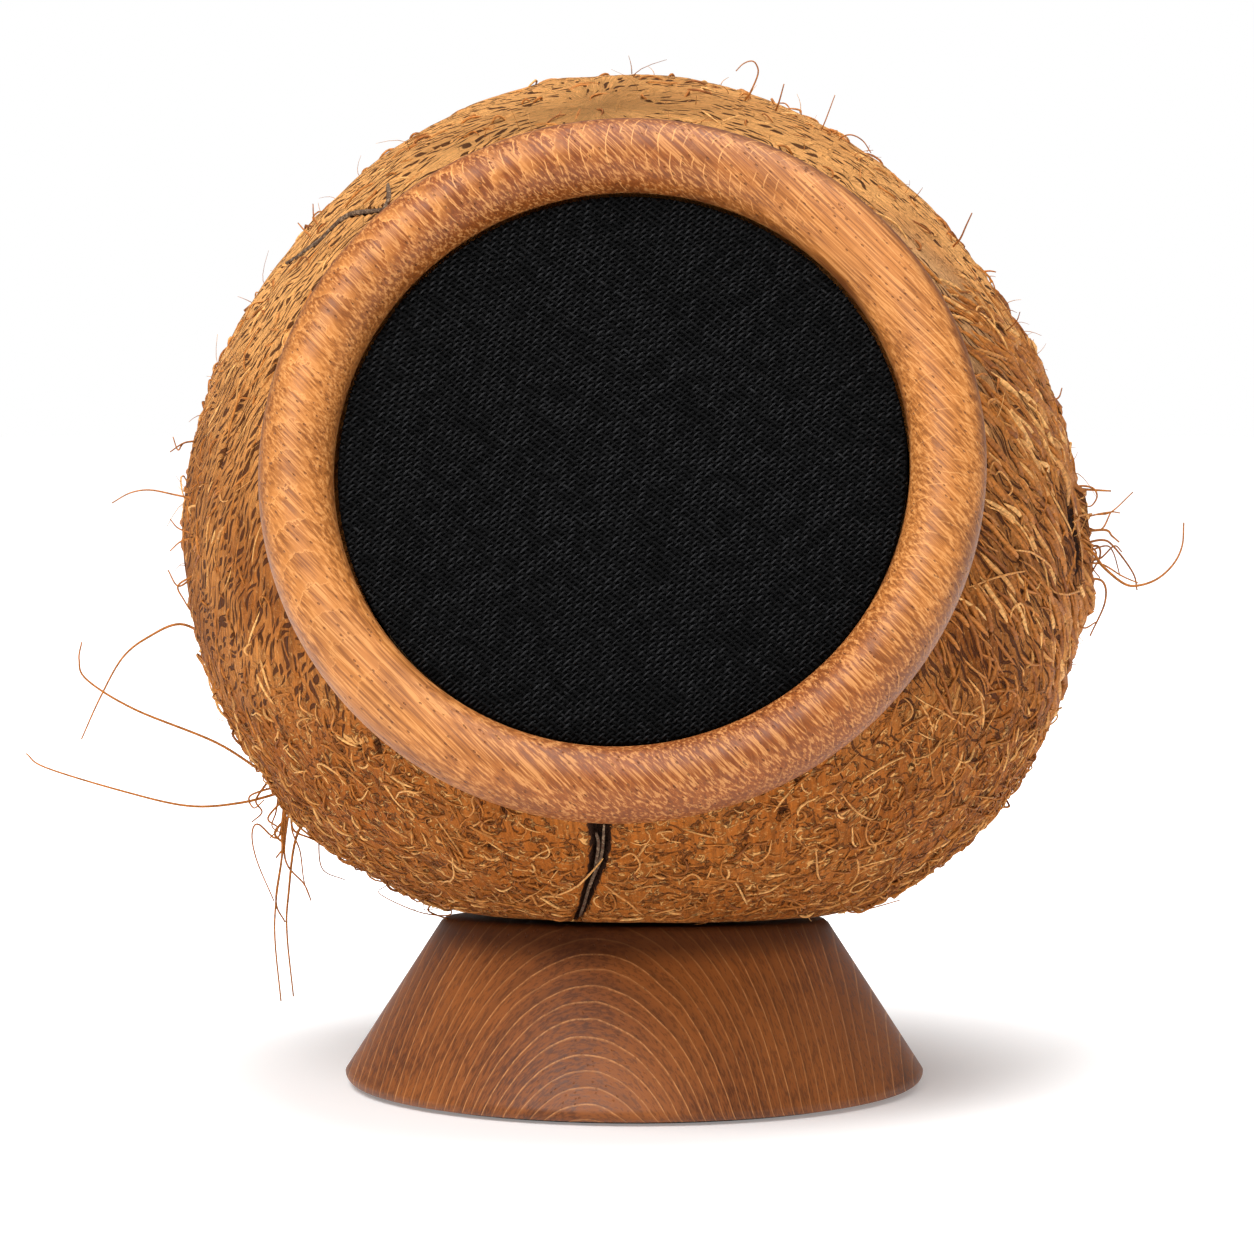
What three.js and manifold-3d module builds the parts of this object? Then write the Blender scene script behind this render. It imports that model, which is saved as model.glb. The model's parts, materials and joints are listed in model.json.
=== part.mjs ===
// Coconut shell loudspeaker: a husked nut as the cabinet, a turned wooden ring round its mouth,
// black grille cloth, a small driver behind it, and a turned wooden base.
// Millimetres, +Z up, front towards -Y, origin at the centre of the felt pad's underside.

import * as THREE from 'three';
import { mergeVertices } from 'three/addons/utils/BufferGeometryUtils.js';
import Module from 'manifold-3d';

const wasm = await Module();
wasm.setup();

// Driving dimensions

const TAU = Math.PI * 2;
const degrees = (angle) => (angle * Math.PI) / 180;
const GAP = 0.3; // air left between pieces that touch
const FAR = 200; // half size of a cutting block that is larger than the object

const NUT = {
  centre: new THREE.Vector3(-1.0, 14.5, 80.0),
  yaw: degrees(3.1), // the front end points a little to +X
  drop: degrees(2.3), // and a little down
  radius: 64.2,
  frontLength: 86.0,
  rearLength: 70.0,
  oval: 0.018, // share of the radius, two bulges round the axis
  ovalTurn: degrees(-48.8),
  ridges: 0.022, // share of the radius, three blunt ridges
  ridgeTurn: degrees(258.9),
  wall: 11.0, // husk and shell together
  around: 42, // facets round the axis
  along: 20, // and from end to end
  cavityAround: 24,
  cavityAlong: 12,
  washerFlat: 30.2, // height of the flat spot on the cavity's floor
};
const MOUTH = { x: 1.8, y: -47.0, z: 90.35, tilt: degrees(18.0), bore: 38.5, face: -4.3 };
const RING = { middle: 43.8, tube: 5.1, back: -4.0 };
const CLOTH = { radius: 38.3, edge: -0.9, crown: 2.0, thickness: 0.8 };
const HOOP = { inner: 35.0, outer: 38.2, front: -2.0, back: -3.7 };
const BAFFLE = { opening: 31.2, outer: 38.2, front: -7.2, back: -13.2 };
const FLANGE = { inner: 28.8, outer: 36.4, front: -5.0, back: -6.2 };
const BASKET = {
  neck: 30.4,
  shoulder: 0.7, // step under the flange
  shelf: -20.3,
  shelfRadius: 22.2,
  rear: -25.0,
  rearRadius: 20.9,
  rearHole: 11.8,
  sheet: 1.2,
  thickSide: 1.8,
};
const WINDOW = { width: 22.0, depth: 24.0, middle: 28.0, height: 9.0, sill: 2.0 };
const CONE = { outer: 26.2, neck: 10.7, front: -5.0, depth: 12.2, wall: 0.9 };
const CAP = { rim: 12.4, height: 3.0, low: -15.0, wall: 0.5 };
const SPIDER = { outer: 21.8, waves: 2, waveHeight: 0.55, lift: 1.0, glueStep: -0.1, wall: 0.5 };
const SURROUND = { inner: 24.6, outer: 31.0, roll: 1.9, rollMiddle: 28.4, wall: 0.5 };
const COIL = { inner: 10.0, former: 10.35, winding: 11.1, front: -17.2, back: -31.0 };
const MAGNET = { hole: 13.0, radius: 25.0, front: -29.6, back: -38.6 };
const PLATES = { radius: 21.0, topFront: -25.3, topHole: 11.5, rearBack: -43.0, pole: 9.2 };
const SCREW = {
  circle: 34.2,
  shank: 1.0,
  head: 2.0,
  headHeight: 0.8,
  length: 7.8,
  point: 1.2,
  slotWidth: 0.5,
  slotDepth: 0.4,
};
const TAGS = { stripWidth: 12.0, stripDepth: 1.2, stripFront: -11.0, stripBack: -19.0, standOff: 28.9 };
const TAG = { x: 3.2, width: 2.4, sheet: 0.5, length: 7.0, back: -22.5 };
const REAR = { plane: 67.0, hole: 11.0, plate: 15.6, edge: 0.8, thickness: 3.2, posts: 12.0, screws: 12.8 };
const POST = {
  shank: 2.0,
  flange: 4.2,
  flangeHeight: 1.2,
  tip: 13.6,
  inner: -9.0,
  knob: 4.6,
  knobLength: 8.0,
  flutes: 12,
  fluteDepth: 0.45,
  nutWidth: 7.4, // across corners
  nutHeight: 2.7,
};
const BASE = {
  radius: 41.5,
  rounding: 1.4,
  slope: 0.64, // radius lost for each millimetre of height
  seatHeight: 23.8, // on the base's own axis
  seatTilt: degrees(4.0), // the seat falls towards the rear
  lift: 0.5, // the felt pad stands this far proud
  counterbore: 8.2,
  counterboreTop: 14.3,
};
const PAD = { radius: 38.0, thickness: 1.6 };
const BOLT = {
  shank: 3.0,
  hole: 3.4,
  head: 5.0,
  headLow: 6.5,
  headHigh: 12.5,
  tip: 41.0,
  socket: 2.6,
  socketDepth: 3.2,
  nutWidth: 11.5, // across corners
  nutHeight: 5.0,
};
const WASHER = { radius: 7.6, thickness: 1.2, spotMargin: 1.5 };
const COIR = 0.35; // radius of a coarse strand
const LEAD = { radius: 0.8, droop: 12.0, spread: 1.5, slack: 9.0, behindMagnet: 6.0, straight: 5.0 };

// How far the cutters reach to either side of the wall they go through
const REACH = {
  outside: 5.0,
  inside: -20.0,
  bore: -32.0,
  shortHole: -9.0,
  boltLow: 10.0,
  boltHigh: 45.0,
  spotHigh: 50.0,
};

// Materials

const finish = (color, roughness, metalness = 0) =>
  new THREE.MeshStandardMaterial({ color, roughness, metalness });
const LOOK = {
  husk: finish(0xb98850, 0.9),
  coir: finish(0x9c6a3c, 0.9),
  ringWood: finish(0xb8784a, 0.45),
  baseWood: finish(0x6b4029, 0.5),
  plywood: finish(0xc8a878, 0.8),
  cloth: finish(0x101012, 0.95),
  blackPlastic: finish(0x17171a, 0.5),
  foam: finish(0x26262a, 0.95),
  blackSteel: finish(0x1c1d20, 0.45, 0.7),
  rubber: finish(0x151515, 0.7),
  paper: finish(0x2a2826, 0.9),
  amberCloth: finish(0xb98a3a, 0.85),
  copper: finish(0xb5673a, 0.35, 1.0),
  zinc: finish(0xc3c6c8, 0.35, 1.0),
  ferrite: finish(0x36373a, 0.6, 0.1),
  brass: finish(0xc9a24d, 0.3, 1.0),
  redPlastic: finish(0xa51f1c, 0.5),
  felt: finish(0x3a3632, 1.0),
};

// Solids: closed meshes are cut and joined, then turned back into geometry

function toSolid(geometry) {
  const bare = geometry.clone();
  bare.deleteAttribute('normal');
  bare.deleteAttribute('uv');
  const merged = mergeVertices(bare, 1e-4);
  return new wasm.Manifold(
    new wasm.Mesh({
      numProp: 3,
      vertProperties: new Float32Array(merged.attributes.position.array),
      triVerts: new Uint32Array(merged.index.array),
    }),
  );
}

function toGeometry(solid) {
  const mesh = solid.getMesh();
  const geometry = new THREE.BufferGeometry();
  geometry.setAttribute('position', new THREE.BufferAttribute(new Float32Array(mesh.vertProperties), 3));
  geometry.setIndex(new THREE.BufferAttribute(new Uint32Array(mesh.triVerts), 1));
  geometry.computeVertexNormals();
  return geometry;
}

const cut = (geometry, ...cutters) =>
  toGeometry(cutters.reduce((solid, cutter) => solid.subtract(toSolid(cutter)), toSolid(geometry)));

// Turned shapes: an outline of [radius, height] points spun about +Z. The outline closes on itself
// or starts and ends on the axis, and is put in the order that faces outwards.

function turned(outline, segments = 32) {
  let area = 0;
  outline.forEach(([radius, height], i) => {
    const [nextRadius, nextHeight] = outline[(i + 1) % outline.length];
    area += radius * nextHeight - nextRadius * height;
  });
  const ordered = area > 0 ? [...outline] : [...outline].reverse();
  if (ordered.some(([radius]) => radius > 0) && ordered.every(([radius]) => radius > 0)) {
    ordered.push(ordered[0]);
  }
  const profile = ordered.map(([radius, height]) => new THREE.Vector2(radius, height));
  return new THREE.LatheGeometry(profile, segments).rotateX(Math.PI / 2);
}

const washer = (inner, outer, low, high, segments = 32) =>
  turned(
    [
      [inner, low],
      [outer, low],
      [outer, high],
      [inner, high],
    ],
    segments,
  );

const rod = (radius, low, high, segments = 20) =>
  turned(
    [
      [0, low],
      [radius, low],
      [radius, high],
      [0, high],
    ],
    segments,
  );

// A thin turned skin: a curve of [radius, height] points, and the same curve moved down by its wall
const skin = (curve, wall, segments = 30) =>
  turned([...curve, ...curve.map(([radius, height]) => [radius, height - wall]).reverse()], segments);

const box = (width, depth, height, x, y, z) =>
  new THREE.BoxGeometry(width, depth, height).translate(x, y, z);

// A nut or a knob: a flat outline with a round hole, pushed up from a height
function pushedUp(shape, holeRadius, low, height) {
  if (holeRadius) shape.holes.push(new THREE.Path().absarc(0, 0, holeRadius, 0, TAU, true));
  const solid = new THREE.ExtrudeGeometry(shape, { depth: height, bevelEnabled: false, curveSegments: 10 });
  return solid.translate(0, 0, low);
}

function wavyOutline(radius, wave, count, points) {
  const corners = [];
  for (let i = 0; i < points; i += 1) {
    const angle = (TAU * i) / points;
    const reach = radius - wave * (0.5 - 0.5 * Math.cos(count * angle));
    corners.push(new THREE.Vector2(reach * Math.cos(angle), reach * Math.sin(angle)));
  }
  return new THREE.Shape(corners);
}

const hexagon = (acrossCorners) => wavyOutline(acrossCorners / 2, 0, 1, 6);

// A round strand or wire along a smooth curve through its points
function strand(points, radius, steps, sides) {
  const section = wavyOutline(radius, 0, 1, sides);
  const route = new THREE.CatmullRomCurve3(points, false, 'centripetal');
  return new THREE.ExtrudeGeometry(section, { steps, bevelEnabled: false, extrudePath: route });
}

// Frames: +Z of the mouth's frame leaves the nut along the mouth's own axis, +Z of the rear frame
// leaves it at the back, and +Z of the seat's frame stands on the base's sloping seat

const mouthFrame = new THREE.Matrix4()
  .makeTranslation(MOUTH.x, MOUTH.y, MOUTH.z)
  .multiply(new THREE.Matrix4().makeRotationX(Math.PI / 2 - MOUTH.tilt));

const nutAxis = new THREE.Vector3(
  Math.sin(NUT.yaw) * Math.cos(NUT.drop),
  -Math.cos(NUT.yaw) * Math.cos(NUT.drop),
  -Math.sin(NUT.drop),
);
const nutSide = new THREE.Vector3(Math.cos(NUT.yaw), Math.sin(NUT.yaw), 0);
const nutUp = new THREE.Vector3().crossVectors(nutAxis, nutSide);

const rearOut = nutAxis.clone().negate();
const rearSide = nutSide.clone().negate();
const rearFrame = new THREE.Matrix4()
  .makeBasis(rearSide, new THREE.Vector3().crossVectors(rearOut, rearSide), rearOut)
  .setPosition(NUT.centre.clone().addScaledVector(rearOut, REAR.plane));

const seatFrame = new THREE.Matrix4()
  .makeTranslation(0, 0, BASE.seatHeight)
  .multiply(new THREE.Matrix4().makeRotationX(-BASE.seatTilt));

const inMouth = (x, y, z) => new THREE.Vector3(x, y, z).applyMatrix4(mouthFrame);
const inRear = (x, y, z) => new THREE.Vector3(x, y, z).applyMatrix4(rearFrame);

// The nut: two half ellipsoids end to end, with an oval section and three blunt ridges

function nutSurface(inset, around, along) {
  const positions = [];
  const index = [];
  const point = new THREE.Vector3();
  for (let i = 0; i <= along; i += 1) {
    const reach = -Math.cos((Math.PI * i) / along); // -1 at the rear end, 1 at the front end
    const distance = reach * ((reach > 0 ? NUT.frontLength : NUT.rearLength) - inset);
    for (let j = 0; j < around; j += 1) {
      const angle = (TAU * j) / around;
      const bulges = NUT.oval * Math.cos(2 * angle - NUT.ovalTurn);
      const ridges = NUT.ridges * Math.cos(3 * angle - NUT.ridgeTurn);
      const out = (NUT.radius - inset) * (1 + bulges + ridges) * Math.sqrt(1 - reach * reach);
      point
        .copy(NUT.centre)
        .addScaledVector(nutAxis, distance)
        .addScaledVector(nutSide, out * Math.cos(angle))
        .addScaledVector(nutUp, out * Math.sin(angle));
      positions.push(point.x, point.y, point.z);
    }
  }
  for (let i = 0; i < along; i += 1) {
    for (let j = 0; j < around; j += 1) {
      const next = (j + 1) % around;
      const rear = i * around;
      const front = rear + around;
      index.push(rear + j, rear + next, front + j, rear + next, front + next, front + j);
    }
  }
  const geometry = new THREE.BufferGeometry();
  geometry.setAttribute('position', new THREE.Float32BufferAttribute(positions, 3));
  geometry.setIndex(index);
  return geometry;
}

function coconut() {
  const plateScrews = [-1, 1].map((side) =>
    rod(SCREW.shank + GAP, REACH.shortHole, REACH.outside, 10).translate(0, side * REAR.screws, 0),
  );
  return cut(
    nutSurface(0, NUT.around, NUT.along),
    nutSurface(NUT.wall, NUT.cavityAround, NUT.cavityAlong),
    rod(FAR, MOUTH.face, FAR, 6).applyMatrix4(mouthFrame),
    rod(MOUTH.bore, REACH.bore, REACH.outside, 42).applyMatrix4(mouthFrame),
    rod(FAR, 0, FAR, 6).applyMatrix4(rearFrame),
    rod(REAR.hole, REACH.inside, REACH.outside, 32).applyMatrix4(rearFrame),
    ...plateScrews.map((hole) => hole.applyMatrix4(rearFrame)),
    rod(FAR, -FAR, GAP / 2, 6).applyMatrix4(seatFrame),
    rod(BOLT.hole, REACH.boltLow, REACH.boltHigh, 20),
    rod(WASHER.radius + WASHER.spotMargin, NUT.washerFlat, REACH.spotHigh, 24),
  );
}

// Loose coir: strands that stand out of the husk, kept as far as they are outside it

const LOOSE_COIR = {
  coir_strand_left: [
    [-58, 12, 62], [-62.1, 8, 63], [-66.6, 6, 65.2], [-71.1, 5, 63.4], [-75, 5, 60.3], [-78.4, 5, 54.3],
    [-81.1, 5, 48.4],
  ],
  coir_strand_lower_left: [
    [-46, 14, 40], [-53.7, 11, 42.4], [-62.1, 10, 47.6], [-74, 9, 52.5], [-81, 9, 56.8], [-82.1, 9, 59.7],
    [-81.7, 9, 62.3],
  ],
  coir_strand_long: [
    [-45, 4, 42], [-50.6, 4, 41.2], [-57.3, 2, 39.6], [-64.7, 0, 39.3], [-74, -2, 41.6], [-84.9, -3, 45],
    [-87.7, -3, 47],
  ],
  coir_strand_hanging: [
    [-45, 8, 39], [-49.6, 7, 35], [-51, 6, 25.5], [-51.2, 6, 20], [-50.3, 6, 10.9],
  ],
  coir_strand_right: [
    [60, 8, 78], [64.8, 6, 76.6], [66.9, 6, 74.1], [69.9, 6, 71.7], [72.1, 6, 71.5], [74.7, 6, 72.5],
    [76.9, 6, 74.6], [78.1, 6, 77.2], [78.3, 6, 80.5],
  ],
};

function looseStrand(route) {
  const points = route.map(([x, y, z]) => new THREE.Vector3(x, y, z));
  return cut(strand(points, COIR, points.length * 2, 6), nutSurface(-GAP, NUT.around, NUT.along));
}

// The mouth's pieces, in the mouth's frame

function frontRing() {
  const outline = [[RING.middle - RING.tube, RING.back]];
  const start = -Math.asin(-RING.back / RING.tube);
  const steps = 12;
  for (let i = 0; i <= steps; i += 1) {
    const angle = start + ((Math.PI - start) * i) / steps;
    outline.push([RING.middle + RING.tube * Math.cos(angle), RING.tube * Math.sin(angle)]);
  }
  return turned(outline, 52);
}

function grilleCloth() {
  const curve = [];
  const steps = 5;
  for (let i = 0; i <= steps; i += 1) {
    const radius = (CLOTH.radius * i) / steps;
    curve.push([radius, CLOTH.edge + CLOTH.crown * (1 - (i / steps) ** 2)]);
  }
  return skin(curve, CLOTH.thickness, 42);
}

const screwHoles = () =>
  screwPlaces().map(([x, y]) => rod(SCREW.shank + GAP, REACH.inside, 0, 10).translate(x, y, 0));

function screwPlaces() {
  return [0, 1, 2, 3].map((i) => {
    const angle = degrees(45 + 90 * i);
    return [SCREW.circle * Math.cos(angle), SCREW.circle * Math.sin(angle)];
  });
}

const baffle = () => cut(washer(BAFFLE.opening, BAFFLE.outer, BAFFLE.back, BAFFLE.front, 40), ...screwHoles());

const gasket = () =>
  cut(washer(BAFFLE.opening + 0.6, FLANGE.outer, BAFFLE.front + GAP, FLANGE.back - GAP), ...screwHoles());

function basket() {
  const side = BASKET.rearRadius - BASKET.thickSide;
  const outline = [
    [FLANGE.outer, FLANGE.front],
    [FLANGE.outer, FLANGE.back],
    [BASKET.neck, FLANGE.back],
    [BASKET.neck - BASKET.shoulder, FLANGE.back - 2 * BASKET.sheet],
    [BASKET.rearRadius, BASKET.rear],
    [BASKET.rearHole, BASKET.rear],
    [BASKET.rearHole, BASKET.rear + BASKET.sheet],
    [side, BASKET.rear + BASKET.sheet],
    [side, BASKET.shelf],
    [BASKET.shelfRadius, BASKET.shelf],
    [FLANGE.inner - GAP, FLANGE.back - BASKET.thickSide],
    [FLANGE.inner, FLANGE.front],
  ];
  const windowMiddle = BASKET.shelf + WINDOW.sill + WINDOW.height / 2;
  const windows = [0, 1, 2, 3].map((i) =>
    box(WINDOW.width, WINDOW.depth, WINDOW.height, 0, WINDOW.middle, windowMiddle).rotateZ(degrees(45 + 90 * i)),
  );
  return cut(turned(outline, 32), ...windows, ...screwHoles());
}

function surround() {
  const lip = FLANGE.front + GAP + SURROUND.wall;
  const curve = [[SURROUND.inner, lip]];
  const steps = 5;
  for (let i = 0; i <= steps; i += 1) {
    const angle = Math.PI - (Math.PI * i) / steps;
    const radius = SURROUND.rollMiddle + SURROUND.roll * Math.cos(angle);
    curve.push([radius, lip + SURROUND.roll * Math.sin(angle)]);
  }
  curve.push([SURROUND.outer, lip]);
  return skin(curve, SURROUND.wall);
}

function cone() {
  const curve = [];
  const steps = 4;
  for (let i = 0; i <= steps; i += 1) {
    const share = i / steps;
    const radius = CONE.neck + (CONE.outer - CONE.neck) * share;
    curve.push([radius, CONE.front - CONE.depth * (1 - share) ** 0.85]);
  }
  return skin(curve, CONE.wall);
}

function dustCap() {
  const curve = [0, 0.25, 0.5, 0.75, 1].map((share) => [
    CAP.rim * share,
    CAP.low + CAP.height * (1 - share ** 2),
  ]);
  return skin(curve, CAP.wall, 24);
}

function spider() {
  const inner = COIL.former + GAP;
  const steps = SPIDER.waves * 4;
  const curve = [];
  for (let i = 0; i <= steps; i += 1) {
    const wave = SPIDER.waveHeight * Math.sin((TAU * SPIDER.waves * i) / steps);
    const height = i < steps - 1 ? wave : SPIDER.glueStep;
    curve.push([inner + ((SPIDER.outer - inner) * i) / steps, BASKET.shelf + SPIDER.lift + height]);
  }
  return skin(curve, SPIDER.wall, 28);
}

const former = () => washer(COIL.inner, COIL.former, COIL.back, COIL.front, 36);
const winding = () => washer(COIL.former + 0.25, COIL.winding, COIL.back + 0.6, PLATES.topFront + 0.5, 36);
const topPlate = () => washer(PLATES.topHole, PLATES.radius, MAGNET.front + GAP, PLATES.topFront);
const magnet = () => washer(MAGNET.hole, MAGNET.radius, MAGNET.back, MAGNET.front);

const backPlate = () =>
  turned([
    [0, PLATES.rearBack],
    [PLATES.radius - 1, PLATES.rearBack],
    [PLATES.radius, PLATES.rearBack + 1],
    [PLATES.radius, MAGNET.back - GAP],
    [PLATES.pole, MAGNET.back - GAP],
    [PLATES.pole, PLATES.topFront - 0.6],
    [PLATES.pole - 0.6, PLATES.topFront],
    [0, PLATES.topFront],
  ]);

function screw(front, length) {
  const back = front - length;
  const body = turned(
    [
      [0, back],
      [SCREW.shank * 0.6, back],
      [SCREW.shank, back + SCREW.point],
      [SCREW.shank, front],
      [SCREW.head, front],
      [SCREW.head, front + SCREW.headHeight * 0.6],
      [SCREW.head * 0.7, front + SCREW.headHeight],
      [0, front + SCREW.headHeight],
    ],
    12,
  );
  const slots = [0, 90].map((turn) =>
    box(SCREW.slotWidth, SCREW.head * 1.3, SCREW.slotDepth * 2, 0, 0, front + SCREW.headHeight).rotateZ(
      degrees(turn),
    ),
  );
  return cut(body, ...slots);
}

function tagStrip() {
  const height = TAGS.stripFront - TAGS.stripBack;
  const middle = (TAGS.stripFront + TAGS.stripBack) / 2;
  return box(TAGS.stripWidth, TAGS.stripDepth, height, 0, TAGS.standOff + TAGS.stripDepth / 2, middle);
}

const tagHeight = TAGS.standOff + TAGS.stripDepth + GAP + TAG.sheet / 2;
const solderTag = (side) =>
  box(TAG.width, TAG.sheet, TAG.length, side * TAG.x, tagHeight, TAG.back + TAG.length / 2);

// The rear pieces, in the rear frame

const postPlaces = { red: -REAR.posts / 2, black: REAR.posts / 2 };
const plateFront = GAP + REAR.thickness;

function rearPlate() {
  const outline = [
    [0, GAP],
    [REAR.plate, GAP],
    [REAR.plate, plateFront - REAR.edge],
    [REAR.plate - REAR.edge, plateFront],
    [0, plateFront],
  ];
  const hole = (radius, segments) => rod(radius + GAP, -REACH.outside, plateFront + REACH.outside, segments);
  const postHoles = Object.values(postPlaces).map((x) => hole(POST.shank, 20).translate(x, 0, 0));
  const screwHolesHere = [-1, 1].map((side) => hole(SCREW.shank, 10).translate(0, side * REAR.screws, 0));
  return cut(turned(outline, 40), ...postHoles, ...screwHolesHere);
}

const bindingPost = () =>
  turned(
    [
      [0, POST.inner],
      [POST.shank, POST.inner],
      [POST.shank, plateFront + GAP],
      [POST.flange, plateFront + GAP],
      [POST.flange, plateFront + GAP + POST.flangeHeight],
      [POST.shank, plateFront + GAP + POST.flangeHeight],
      [POST.shank, POST.tip],
      [0, POST.tip],
    ],
    20,
  );

const postKnob = () =>
  pushedUp(
    wavyOutline(POST.knob, POST.fluteDepth, POST.flutes, POST.flutes * 4),
    POST.shank + GAP,
    plateFront + GAP + POST.flangeHeight + GAP,
    POST.knobLength,
  );

const postNut = () => pushedUp(hexagon(POST.nutWidth), POST.shank + GAP, -POST.nutHeight, POST.nutHeight);

// The base's pieces, upright on the origin

function base() {
  const recess = PAD.thickness + GAP;
  const low = BASE.lift;
  const high = BASE.seatHeight + REACH.outside;
  const outline = [
    [0, recess],
    [PAD.radius + GAP, recess],
    [PAD.radius + GAP, low],
  ];
  const steps = 3;
  for (let i = 0; i <= steps; i += 1) {
    const angle = -Math.PI / 2 + (Math.PI / 2) * (i / steps);
    const radius = BASE.radius - BASE.rounding + BASE.rounding * Math.cos(angle);
    outline.push([radius, low + BASE.rounding + BASE.rounding * Math.sin(angle)]);
  }
  outline.push([BASE.radius - BASE.slope * (high - low - BASE.rounding), high], [0, high]);
  return cut(
    turned(outline, 52),
    rod(FAR, -GAP / 2, FAR, 6).applyMatrix4(seatFrame),
    rod(BASE.counterbore, 0, BASE.counterboreTop, 32),
    rod(BOLT.hole, 0, REACH.boltHigh, 20),
  );
}

function bolt() {
  const outline = [
    [0, BOLT.headLow],
    [BOLT.head, BOLT.headLow],
    [BOLT.head, BOLT.headHigh],
    [BOLT.shank, BOLT.headHigh],
    [BOLT.shank, BOLT.tip - 1],
    [BOLT.shank - 0.8, BOLT.tip],
    [0, BOLT.tip],
  ];
  const socket = pushedUp(hexagon(BOLT.socket * 2), 0, BOLT.headLow - 1, BOLT.socketDepth + 1);
  return cut(turned(outline, 24), socket);
}

const headWasher = () =>
  washer(BOLT.hole, WASHER.radius, BOLT.headHigh + GAP, BOLT.headHigh + GAP + WASHER.thickness, 32);
const floorWasherLow = NUT.washerFlat + GAP;
const floorWasher = () =>
  washer(BOLT.hole, WASHER.radius, floorWasherLow, floorWasherLow + WASHER.thickness, 32);
const boltNut = () =>
  pushedUp(hexagon(BOLT.nutWidth), BOLT.hole, floorWasherLow + WASHER.thickness + GAP, BOLT.nutHeight);

// Lead wires: from a solder tag over the magnet to the inner end of its binding post

function leadWire(side, postX) {
  const start = inMouth(side * TAG.x, tagHeight, TAG.back - GAP);
  const end = inRear(postX, 0, POST.inner - GAP);
  const sag = start
    .clone()
    .lerp(end, 0.62)
    .add(new THREE.Vector3(2 * side * LEAD.spread, 0, -LEAD.slack));
  const route = [
    start,
    inMouth(side * TAG.x, tagHeight + TAG.sheet, TAG.back - LEAD.droop),
    inMouth(side * (TAG.x + LEAD.spread), tagHeight - 2 * TAG.sheet, MAGNET.back - LEAD.behindMagnet),
    sag,
    inRear(postX, -2 * LEAD.spread, POST.inner - 3 * LEAD.straight),
    inRear(postX, 0, POST.inner - LEAD.straight),
    end,
  ];
  return strand(route, LEAD.radius, 24, 8);
}

// Assembly

function named(name, geometry, material) {
  const mesh = new THREE.Mesh(geometry, material);
  mesh.name = name;
  return mesh;
}

function framed(matrix, ...meshes) {
  const group = new THREE.Group();
  group.applyMatrix4(matrix);
  group.add(...meshes);
  return group;
}

const moved = (mesh, x, y, z) => {
  mesh.position.set(x, y, z);
  return mesh;
};

const mouthPieces = framed(
  mouthFrame,
  named('front_ring', frontRing(), LOOK.ringWood),
  named('grille_cloth', grilleCloth(), LOOK.cloth),
  named('grille_hoop', washer(HOOP.inner, HOOP.outer, HOOP.back, HOOP.front, 48), LOOK.blackPlastic),
  named('baffle', baffle(), LOOK.plywood),
  named('driver_gasket', gasket(), LOOK.foam),
  named('driver_basket', basket(), LOOK.blackSteel),
  named('surround', surround(), LOOK.rubber),
  named('cone', cone(), LOOK.paper),
  named('dust_cap', dustCap(), LOOK.paper),
  named('spider', spider(), LOOK.amberCloth),
  named('voice_coil_former', former(), LOOK.amberCloth),
  named('voice_coil_winding', winding(), LOOK.copper),
  named('top_plate', topPlate(), LOOK.zinc),
  named('magnet', magnet(), LOOK.ferrite),
  named('back_plate', backPlate(), LOOK.zinc),
  ...screwPlaces().map(([x, y], i) =>
    moved(named(`driver_screw_${i + 1}`, screw(FLANGE.front + GAP, SCREW.length), LOOK.blackSteel), x, y, 0),
  ),
  named('tag_strip', tagStrip(), LOOK.blackPlastic),
  named('solder_tag_red', solderTag(1), LOOK.brass),
  named('solder_tag_black', solderTag(-1), LOOK.brass),
);

const rearPieces = framed(
  rearFrame,
  named('rear_plate', rearPlate(), LOOK.blackPlastic),
  ...Object.entries(postPlaces).flatMap(([colour, x]) => [
    moved(named(`binding_post_${colour}`, bindingPost(), LOOK.brass), x, 0, 0),
    moved(
      named(`post_knob_${colour}`, postKnob(), colour === 'red' ? LOOK.redPlastic : LOOK.blackPlastic),
      x,
      0,
      0,
    ),
    moved(named(`post_nut_${colour}`, postNut(), LOOK.brass), x, 0, 0),
  ]),
  ...[1, -1].map((side, i) =>
    moved(
      named(`rear_plate_screw_${i + 1}`, screw(plateFront + GAP, SCREW.length + 2), LOOK.blackSteel),
      0,
      side * REAR.screws,
      0,
    ),
  ),
);

const model = new THREE.Group();
model.add(
  named('coconut', coconut(), LOOK.husk),
  ...Object.entries(LOOSE_COIR).map(([name, route]) => named(name, looseStrand(route), LOOK.coir)),
  mouthPieces,
  rearPieces,
  named('lead_wire_red', leadWire(1, postPlaces.red), LOOK.redPlastic),
  named('lead_wire_black', leadWire(-1, postPlaces.black), LOOK.blackPlastic),
  named('base', base(), LOOK.baseWood),
  named('base_bolt', bolt(), LOOK.zinc),
  named('bolt_head_washer', headWasher(), LOOK.zinc),
  named('bolt_nut_washer', floorWasher(), LOOK.zinc),
  named('bolt_nut', boltNut(), LOOK.zinc),
  named('felt_pad', rod(PAD.radius, 0, PAD.thickness, 60), LOOK.felt),
);

export default model;
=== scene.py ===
"""Finish of a loudspeaker whose cabinet is a husked coconut: husk with its fibres and loose coir,
turned front ring, woven grille cloth, turned base, and the finish of every carried-over piece.
Metres, +Z up, front towards -Y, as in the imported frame."""

import itertools
import json
import math

import bpy
import numpy as np
from bpy.props import FloatProperty, FloatVectorProperty, IntProperty, PointerProperty
from mathutils import Matrix, Vector


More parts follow.
